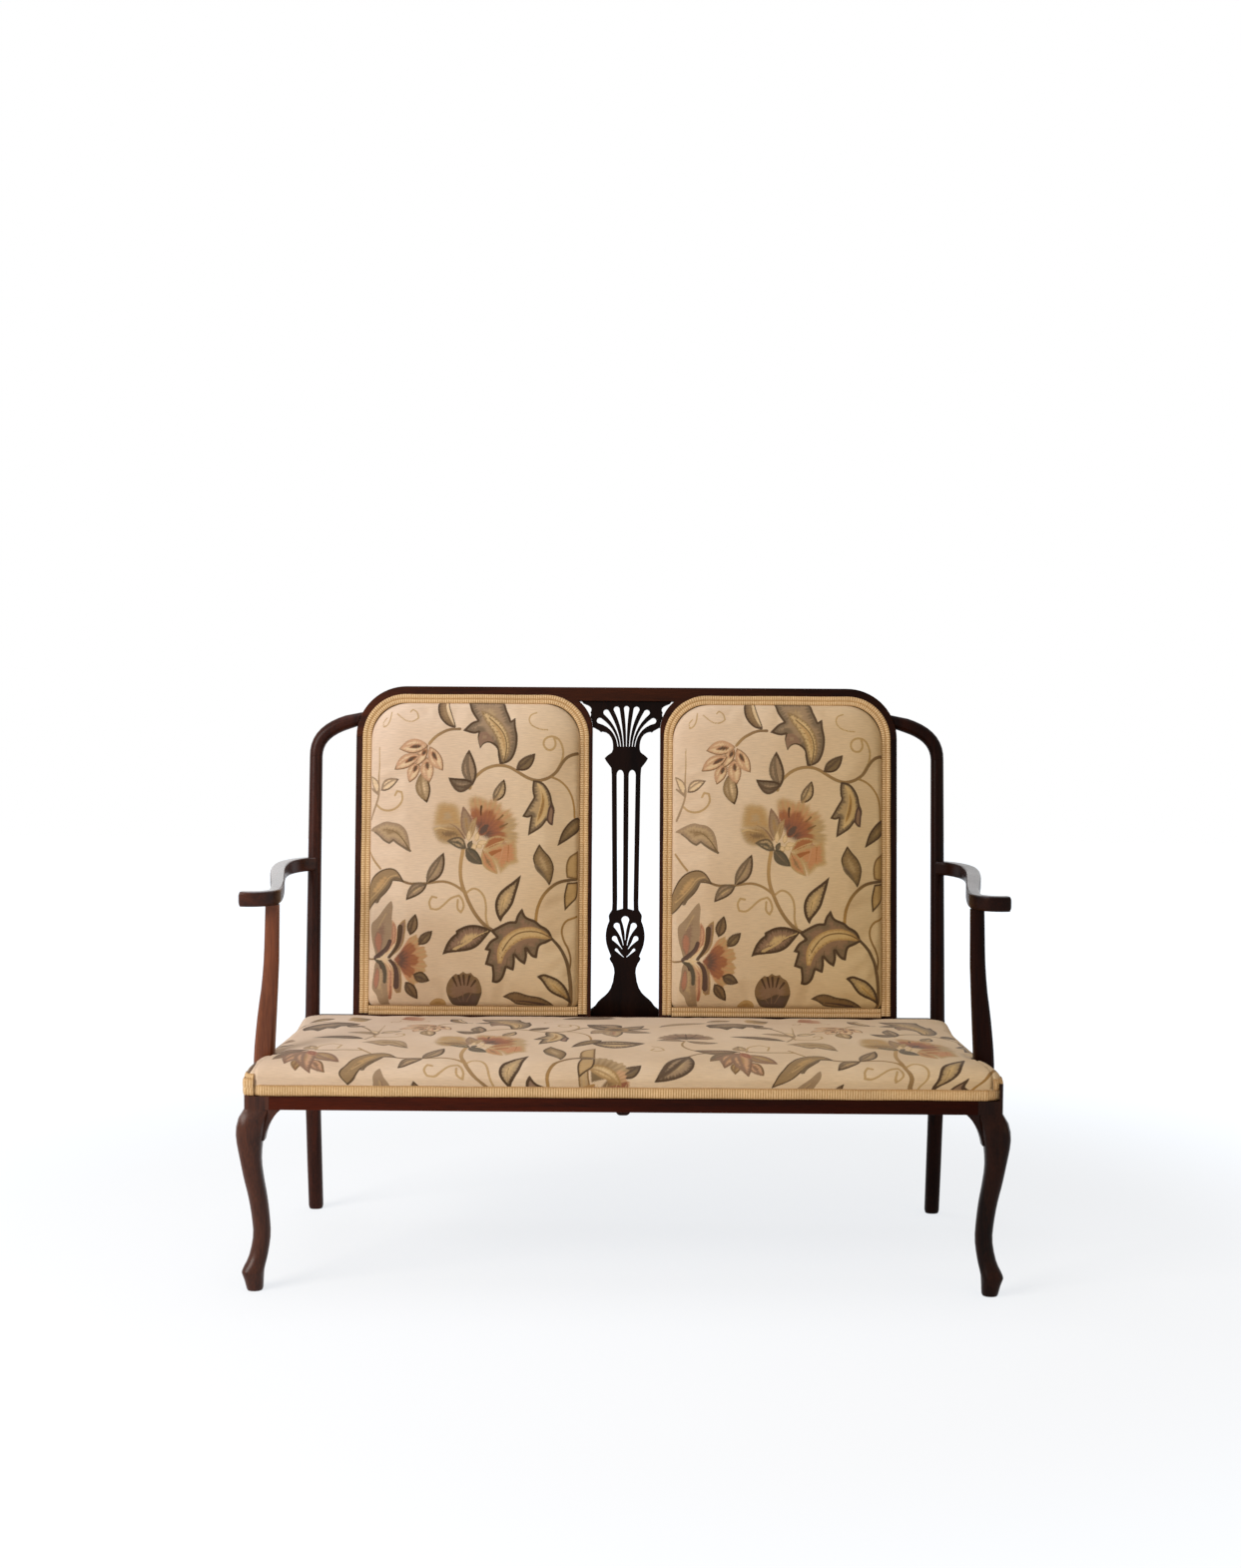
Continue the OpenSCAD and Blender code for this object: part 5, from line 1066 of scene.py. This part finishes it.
def stuff(sheet, cap):
    """Lets the stuffing push the cloth out against its tacked edge, by at most cap metres."""
    rows_tacked, frames = 2, 14
    mesh = sheet.data
    tacked = {v for e, faces in edge_faces(mesh).items() if faces == 1 for v in mesh.edges[e].vertices}
    for _ in range(rows_tacked):
        beside = [edge.vertices for edge in mesh.edges if tacked.intersection(edge.vertices)]
        tacked.update(v for ends in beside for v in ends)
    pinned = sheet.vertex_groups.new(name="tacked")
    pinned.add(sorted(tacked), 1.0, "ADD")
    before = vertex_values(mesh)
    cloth = sheet.modifiers.new("stuffing", "CLOTH")
    cloth.settings.quality = 5
    cloth.settings.mass = 0.3
    cloth.settings.tension_stiffness = 20
    cloth.settings.compression_stiffness = 20
    cloth.settings.bending_stiffness = 2.0
    cloth.settings.use_pressure = True
    cloth.settings.uniform_pressure_force = 1.5
    cloth.settings.vertex_group_mass = "tacked"
    cloth.settings.shrink_min = -0.006
    cloth.settings.effector_weights.gravity = 0
    cloth.point_cache.frame_start, cloth.point_cache.frame_end = 1, frames
    scene = bpy.context.scene
    for step in range(1, frames + 1):
        scene.frame_set(step)
    depsgraph = bpy.context.evaluated_depsgraph_get()
    move = vertex_values(sheet.evaluated_get(depsgraph).data) - before
    scene.frame_set(1)
    sheet.modifiers.clear()
    size = np.linalg.norm(move, axis=1, keepdims=True)
    move *= np.minimum(1, cap / np.maximum(size, 1e-9))
    mesh.vertices.foreach_set("co", (before + move).ravel())
    mesh.update()


def edge_faces(mesh):
    """How many faces share each edge."""
    count = {}
    for loop in mesh.loops:
        count[loop.edge_index] = count.get(loop.edge_index, 0) + 1
    return count


def subdivided(piece, levels):
    """Applies a smooth subdivision to a piece."""
    smoother = piece.modifiers.new("smooth", "SUBSURF")
    smoother.levels = smoother.render_levels = levels
    depsgraph = bpy.context.evaluated_depsgraph_get()
    made = bpy.data.meshes.new_from_object(piece.evaluated_get(depsgraph))
    piece.modifiers.clear()
    piece.data = made
    return piece


def close_underside(piece, lies_at=None):
    """Closes a cushion's open edge with a flat bottom. With lies_at the bottom steps up over the
    frame, to lie at that height on what is stretched across it."""
    over_frame, step_run = 0.009, 0.0015
    bm = bmesh.new()
    bm.from_mesh(piece.data)
    rim = [e for e in bm.edges if e.is_boundary]
    bottom = bmesh.ops.holes_fill(bm, edges=rim, sides=0)["faces"]
    if lies_at:
        half_x = max(v.co.x for v in bottom[0].verts)
        front, back = (pick(v.co.y for v in bottom[0].verts) for pick in (min, max))
        for step, rise in ((over_frame, 0), (step_run, lies_at - bottom[0].verts[0].co.z)):
            bmesh.ops.inset_region(bm, faces=bottom, thickness=0)
            for vertex in bottom[0].verts:
                vertex.co.x *= 1 - step / half_x
                vertex.co.y += step * (front + back - 2 * vertex.co.y) / (back - front)
                vertex.co.z += rise
    bmesh.ops.triangulate(bm, faces=bottom)
    bmesh.ops.recalc_face_normals(bm, faces=bm.faces)
    bm.to_mesh(piece.data)
    bm.free()


def weave_cover(piece, on_sheet, shifts, whole, painted_shade):
    """Stores the design on a cushion, from its unfolded cloth coordinates. The last argument is how
    much painted yellow shade the cloth has at its left, and what it gains to the right and to the foot."""
    mesh = piece.data
    uv = np.empty(len(mesh.loops) * 2)
    mesh.uv_layers["cloth"].data.foreach_get("uv", uv)
    index = np.empty(len(mesh.loops), int)
    mesh.loops.foreach_get("vertex_index", index)
    flat = np.zeros((len(mesh.vertices), 2))
    flat[index] = uv.reshape(-1, 2)
    cloth = weave_design(*on_sheet(flat[:, 0], flat[:, 1]), shifts, whole)
    share = (flat - flat.min(0)) / np.ptp(flat, axis=0)
    # Painted shade: more yellow tint to the right and towards the foot
    painted_shade_amount = painted_shade[0] + painted_shade[1] * share[:, 0] + painted_shade[2] * (1 - share[:, 1])
    for name, values in (("cover", cloth.cover), ("line", cloth.line), ("painted_shade", painted_shade_amount)):
        mesh.attributes.new(name, "FLOAT", "POINT").data.foreach_set("value", values)
    for name, values in (("dye", cloth.dye), ("ink", cloth.ink)):
        rgba = np.hstack([values, np.ones((len(values), 1))])
        mesh.attributes.new(name, "FLOAT_COLOR", "POINT").data.foreach_set("color", rgba.ravel())


cover_cloth = cover_material("cover_cloth", "#dfcab8", "#e8d6c8")

# Seat cushion: hair and wadding on hessian, the cover tacked to the rails round their outer faces
# and cut round the arm supports.
seat_front_half, seat_back_half = 0.625, 0.60438
seat_front_y, seat_back_y = -0.27476, 0.19223
cover_in = 0.0018
seat_corners = [
    Vector((-seat_front_half, seat_front_y)), Vector((seat_front_half, seat_front_y)),
    Vector((seat_back_half, seat_back_y)), Vector((-seat_back_half, seat_back_y)),
]
seat_corner_radii = (0.024, 0.024, 0.008, 0.008)
tack_z, side_z, crown_z = 0.343, 0.3518, 0.389
seat_profile = [
    (cover_in, tack_z), (cover_in, side_z), (cover_in - 0.0022, 0.3574), (cover_in - 0.002, 0.3634),
    (cover_in + 0.0016, 0.3694), (cover_in + 0.008, 0.3736), (cover_in + 0.020, 0.3762),
    (cover_in + 0.046, 0.3802), (cover_in + 0.090, 0.3849), (cover_in + 0.150, crown_z),
    (0.2325, crown_z + 0.001),
]


def fuller_behind(x, y, height):
    """The stuffing rises a little where the seat runs under the backs."""
    from_y, run, highest, above_side = 0.09, 0.1, 0.009, 0.01
    share = min(max((y - from_y) / run, 0), 1)
    return x, y, height + highest * share * share * min(max((height - side_z) / above_side, 0), 1)


seat = cushion_sheet(
    "seat_cushion", seat_corners, seat_corner_radii, seat_profile, (180, 72), fuller_behind, 0.004,
)


support_y = -0.17676


def cut_round_supports(piece):
    """Draws the cover in round the arm supports, where it is snipped and turned under."""
    half_depth, inner_x, dip = 0.0165, 0.5885, 0.0035
    fade_y, fade_x = 0.012, 0.022
    co = vertex_values(piece.data)
    beyond = np.abs(co[:, 1] - support_y)
    close = smooth(-beyond, -(half_depth + fade_y), -half_depth)
    outside = smooth(np.abs(co[:, 0]), inner_x - fade_x, inner_x)
    co[:, 2] -= dip * close * outside * (co[:, 2] > side_z)
    held = (beyond < half_depth) & (np.abs(co[:, 0]) > inner_x)
    co[held, 0] = np.sign(co[held, 0]) * inner_x
    piece.data.vertices.foreach_set("co", co.ravel())


cut_round_supports(seat)


def pleat(piece, line, deep):
    """Folds the cover under itself along a line on plan, with a lap on the side to the corner."""
    reach, crease, lap_run, lap_share = 0.018, 0.0021, 0.006, 0.45
    hem_z, full_z = 0.344, 0.352
    mesh = piece.data
    co, normal = vertex_values(mesh), vertex_values(mesh, "normal")
    p, q = np.array(line[:-1], float), np.array(line[1:], float)
    run = q - p
    offset = co[:, None, :2] - p
    along = np.clip((offset * run).sum(2) / (run**2).sum(1), 0, 1)
    gap = np.hypot(*np.moveaxis(offset - along[..., None] * run, 2, 0))
    nearest = gap.argmin(1)
    rows = np.arange(len(co))
    near = gap[rows, nearest]
    lap = (run[nearest, 0] * offset[rows, nearest, 1] - run[nearest, 1] * offset[rows, nearest, 0])
    outer = np.sign(lap) == np.sign(line[0][0])
    above = smooth(co[:, 2], hem_z, full_z) * smooth(reach - near, 0, lap_run)
    lift = -deep * np.exp(-((near / crease) ** 2)) + lap_share * deep * outer * np.exp(-near / lap_run)
    co += normal * (lift * above)[:, None]
    mesh.vertices.foreach_set("co", co.ravel())
    mesh.update()


for sign in (-1, 1):
    pleat(seat, [(sign * x, y) for x, y in ((0.6065, -0.28), (0.6065, -0.262), (0.588, -0.19))], 0.0032)


# The design's sheet: metres to a unit, the x of a panel's left edge and the y of its foot, and the
# units in which the design repeats across
sheet_rule = 0.0004075
sheet_left, sheet_foot = 185.0, 1460.0
repeat = 1786.0


def cut_from_sheet(left, foot):
    """Gives a function from a piece's points to their place on the sheet. left and foot are where the
    sheet's panel would start on the piece."""
    return lambda x, y: (sheet_left + (x - left) / sheet_rule, sheet_foot - (y - foot) / sheet_rule)


# Painted shade: the seat's cloth is tinted yellower to the right and towards the front
weave_cover(seat, cut_from_sheet(-0.447, -0.46176), (-repeat, 0.0, repeat), True, (0.0, 0.5, 0.2))
hessian_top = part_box("seat_hessian")[1].z
close_underside(seat, hessian_top + 0.0003)
seat.data.materials.append(cover_cloth)
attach(seat, "root")
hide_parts("seat_cover", "seat_pad")

# Back panels: thinner stuffing in the same cloth, cut alike on both sides and tacked in the
# frame's rebates.
panel_in, panel_out, panel_low, panel_top = 0.0735, 0.497, 0.004, 0.604
arch_r, braid_w = 0.079, 0.0148
crown = 0.024
panel_profile = [
    (braid_w - 0.001, -0.0015), (braid_w, 0.002), (braid_w + 0.001, 0.0055), (braid_w + 0.005, 0.0101),
    (braid_w + 0.013, 0.0149), (braid_w + 0.028, 0.0192), (braid_w + 0.055, 0.0221),
    (braid_w + 0.100, 0.0236), (braid_w + 0.150, crown), (0.2105, crown),
]
for sign, side, cut_x, painted_shade_left in ((-1, "left", -0.4851, 0.0), (1, "right", 0.0929, 0.2)):
    low_x, high_x = sorted((sign * panel_in, sign * panel_out))
    corners = [
        Vector((low_x, panel_low)), Vector((high_x, panel_low)),
        Vector((high_x, panel_top)), Vector((low_x, panel_top)),
    ]
    panel = cushion_sheet(
        "back_cushion_" + side, corners, (0.004, 0.004, arch_r - braid_w, arch_r - braid_w),
        panel_profile, (60, 86), lambda x, v, height: on_back(x, -height, v), 0.003,
    )
    # Painted shade: the cloth is tinted yellower to the right and the foot, the right panel starting
    # yellower
    weave_cover(panel, cut_from_sheet(cut_x, 0.0199), (0.0,), False, (painted_shade_left, 0.55, 0.28))
    close_underside(panel)
    panel.data.materials.append(cover_cloth)
    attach(panel, "root")
    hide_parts("back_cover_" + side, "back_pad_" + side)

# Gimp. Flat braid of gold-beige cotton, glued over the tacks: close ribs across its width, in one
# row on the seat and in two with a groove between on the back.


def braid_material():
    """Cotton braid, matt: pale, with painted shade in the grooves between its ribs and rows and along its
    edges.
    """
    material, tree, output = new_material("gimp_braid")
    deep = add_node(tree, "Attribute", {"attribute_name": "groove_shade"}).outputs["Fac"]
    place = add_node(tree, "TexCoord").outputs["Object"]
    yarn = add_node(tree, "TexNoise", Vector=place, Scale=420, Detail=3)
    wear = add_node(tree, "TexNoise", Vector=place, Scale=14, Detail=3)
    shaken = add_node(tree, "Math", multiply_add, i0=yarn, i1=0.5, i2=deep)
    ramp = add_node(tree, "ValToRGB", Fac=shaken)
    two_tones(ramp, 0.2, "#fbe3ba", 1.1, "#b48c58")
    shade = add_node(tree, "MapRange", Value=wear, From_Min=0.3, From_Max=0.7, To_Min=0.88, To_Max=1.04)
    tinted = add_node(tree, "Mix", tint_mix, i0=1.0, i6=ramp, i7=shade)
    bump = add_node(tree, "Bump", Strength=0.4, Distance=0.0005, Height=yarn)
    shader = add_node(
        tree, "BsdfPrincipled", Base_Color=tinted.outputs[2], Roughness=0.7,
        Specular_IOR_Level=0.3, Sheen_Weight=0.15, Normal=bump,
    )
    tree.links.new(shader.outputs[0], output.inputs[0])
    return material


gimp_cloth = braid_material()


def ahead_of(points):
    """Unit directions along a line of points."""
    ahead = np.gradient(points, axis=0)
    return ahead / np.linalg.norm(ahead, axis=1, keepdims=True)


def braid(name, node, runs, width, rows):
    """Flat braid along runs of (points, outward directions), swept from a grid for each run."""
    thick, rib_steps = 0.003, 4
    # The third number of each profile point is painted shade, darkest at the braid's edges and between
    # rows
    profile = [(-0.5, 0.0, 0.8)]
    for row in range(rows):
        for share, height in ((0.04, 0.45), (0.2, 0.8), (0.5, 1.0), (0.8, 0.8), (0.96, 0.45)):
            profile.append(((row + share) / rows - 0.5, height, 1.2 * (1 - height)))
    profile += [(0.5, 0.0, 0.8), (-0.5, 0.0, 0.8)]
    bm = bmesh.new()
    groove_shade = bm.verts.layers.float.new("groove_shade")
    for points, outs in runs:
        sides = np.cross(outs, ahead_of(points))
        steps, strips = len(points) - 1, len(profile) - 1
        made = bmesh.ops.create_grid(bm, x_segments=steps, y_segments=strips, size=0.5)["verts"]
        for vertex in made:
            k = round((vertex.co.x + 0.5) * steps)
            across, height, deep = profile[round((vertex.co.y + 0.5) * strips)]
            # Each rib draws the braid in and down a little, and it wanders as when laid by hand
            valley = 0.5 + 0.5 * math.cos(2 * math.pi * k / rib_steps)
            reach = width * (across * (1 - 0.05 * valley) + 0.012 * math.sin(k * 0.041))
            loose = 1 + 0.1 * math.sin(k * 0.73) * math.sin(k * 0.191)
            rise = thick * height * (1 - 0.3 * valley) * loose
            vertex.co = points[k] + sides[k] * reach + outs[k] * rise
            # Painted shade in the valleys between the ribs
            vertex[groove_shade] = max(deep, 0.75 * valley)
    bmesh.ops.remove_doubles(bm, verts=bm.verts, dist=1e-6)
    bmesh.ops.holes_fill(bm, edges=[e for e in bm.edges if e.is_boundary], sides=0)
    bmesh.ops.recalc_face_normals(bm, faces=bm.faces)
    for face in bm.faces:
        face.smooth = len(face.verts) == 4
    piece = piece_from(bm, name, gimp_cloth)
    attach(piece, "root")
    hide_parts(node)


fewest_points = 8


def walked(outline, step):
    """Points a step apart along an open outline."""
    p = np.array([tuple(q) for q in outline])
    run = np.concatenate([[0], np.cumsum(np.linalg.norm(np.diff(p, axis=0), axis=1))])
    at = np.linspace(0, run[-1], max(fewest_points, int(run[-1] / step)))
    return np.stack([np.interp(at, run, p[:, k]) for k in range(3)], 1)


# Seat gimp: one length from the left post round the front to the right post, broken at the arm
# supports, and a short end turned up over the cover's pleat at each front corner.
rib_step = 0.00105
seat_gimp_z, seat_gimp_w = 0.3362, 0.019
side_steps = 60
support_clear, last_y = 0.0158, 0.18
around = rounded_sides(seat_corners, cover_in, seat_corner_radii)
way = [
    (*point_on_side(around[k], i / side_steps), seat_gimp_z)
    for k in (3, 0, 1) for i in range(side_steps + 1)
]
points = walked(way, rib_step)
outs = np.cross(ahead_of(points), (0, 0, 1))
clear = (np.abs(points[:, 1] - support_y) > support_clear) & (points[:, 1] < last_y)
cuts = np.nonzero(np.diff(clear.astype(int)))[0] + 1
runs = [
    (points[part], outs[part])
    for part in np.split(np.arange(len(points)), cuts) if clear[part[0]] and len(part) > fewest_points
]
# At the left corner the braid is doubled and lapped round the leg's small horn
lap_r, lap_in, lap_from_x, lap_back, lap_rise, lap_steps = 0.0044, 0.006, -0.6085, 0.017, 0.0112, 12
for lap_z, lift in ((seat_gimp_z, 0.0002), (seat_gimp_z + lap_rise, 0.0007)):
    lap = [(lap_from_x, seat_front_y - lap_r + lap_in - lift, lap_z)]
    for i in range(lap_steps + 1):
        a = math.pi / 2 * i / lap_steps
        lap.append((
            -seat_front_half + lap_in - (lap_r + lift) * math.sin(a),
            seat_front_y + lap_in - (lap_r + lift) * math.cos(a), lap_z,
        ))
    lap.append((-seat_front_half + lap_in - lap_r - lift, seat_front_y + lap_back, lap_z))
    lap = walked(lap, rib_step)[::-1]
    runs.append((lap, np.cross(ahead_of(lap), (0, 0, 1))))
end_r, end_z, end_tilt, end_steps = 0.0262, 0.3542, 0.16, 30
end_from, end_to = math.radians(20), math.radians(96)
for sign in (-1, 1):
    # The turned-up end wraps the corner above the braid, from the pleat to the side
    centre = (sign * (seat_front_half - end_r), seat_front_y + end_r)
    turns = np.linspace(end_from, end_to, end_steps)[::-sign]
    facing = np.stack([sign * np.sin(turns), -np.cos(turns), np.full(end_steps, end_tilt)], 1)
    end = facing * (end_r, end_r, 0) + (*centre, end_z)
    runs.append((end, facing / np.linalg.norm(facing, axis=1, keepdims=True)))
braid("gimp_seat", "seat_gimp", runs, seat_gimp_w, 1)

# Rear gimp: the same braid in one straight length, glued along the outer face of the rear rail over
# the cover's tacks. Its ribs are twice as coarse, as on all the braid that is seen only from behind.
rear_low, rear_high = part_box("rear_gimp")
rear_z = (rear_low.z + rear_high.z) / 2
rear_way = walked([(rear_high.x, rear_low.y, rear_z), (rear_low.x, rear_low.y, rear_z)], rib_step * 2)
rear_outs = np.tile((0.0, 1.0, 0.0), (len(rear_way), 1))
braid("gimp_rear", "rear_gimp", [(rear_way, rear_outs)], rear_high.z - rear_low.z, 1)

# Back gimp: braid in two rows, glued over the tacks in one length up, over and down each panel and a
# short one along its foot, on the front and again round the lining.
panel_gimp_w, panel_gimp_in = 0.0182, 0.0058
arch_foot, arch_steps = panel_low + 0.0002, 24
lining_w = 0.0222
for sign, side in ((-1, "left"), (1, "right")):
    low_x, high_x = sorted((sign * panel_in, sign * panel_out))
    left, right = low_x + panel_gimp_in, high_x - panel_gimp_in
    r = arch_r - panel_gimp_in
    spring = panel_top - arch_r
    arch = [(right, arch_foot)]
    for middle, start in ((right - r, 0), (left + r, math.pi / 2)):
        for i in range(arch_steps + 1):
            a = start + math.pi / 2 * i / arch_steps
            arch.append((middle + r * math.cos(a), spring + r * math.sin(a)))
    arch.append((left, arch_foot))
    foot = [
        (left + panel_gimp_w / 2, panel_low + panel_gimp_in),
        (right - panel_gimp_w / 2, panel_low + panel_gimp_in),
    ]
    for name, node, base_w, facing, step in (
        ("gimp_back_", "back_gimp_", 0.0, -1, rib_step),
        ("gimp_outside_", "outside_gimp_", lining_w, 1, rib_step * 2),
    ):
        runs = []
        for outline in (arch, foot):
            points = walked([on_back(x, base_w, v) for x, v in outline], step)
            runs.append((points, np.tile(tuple(out_slope * facing), (len(points), 1))))
        braid(name + side, node + side, runs, panel_gimp_w, 2)
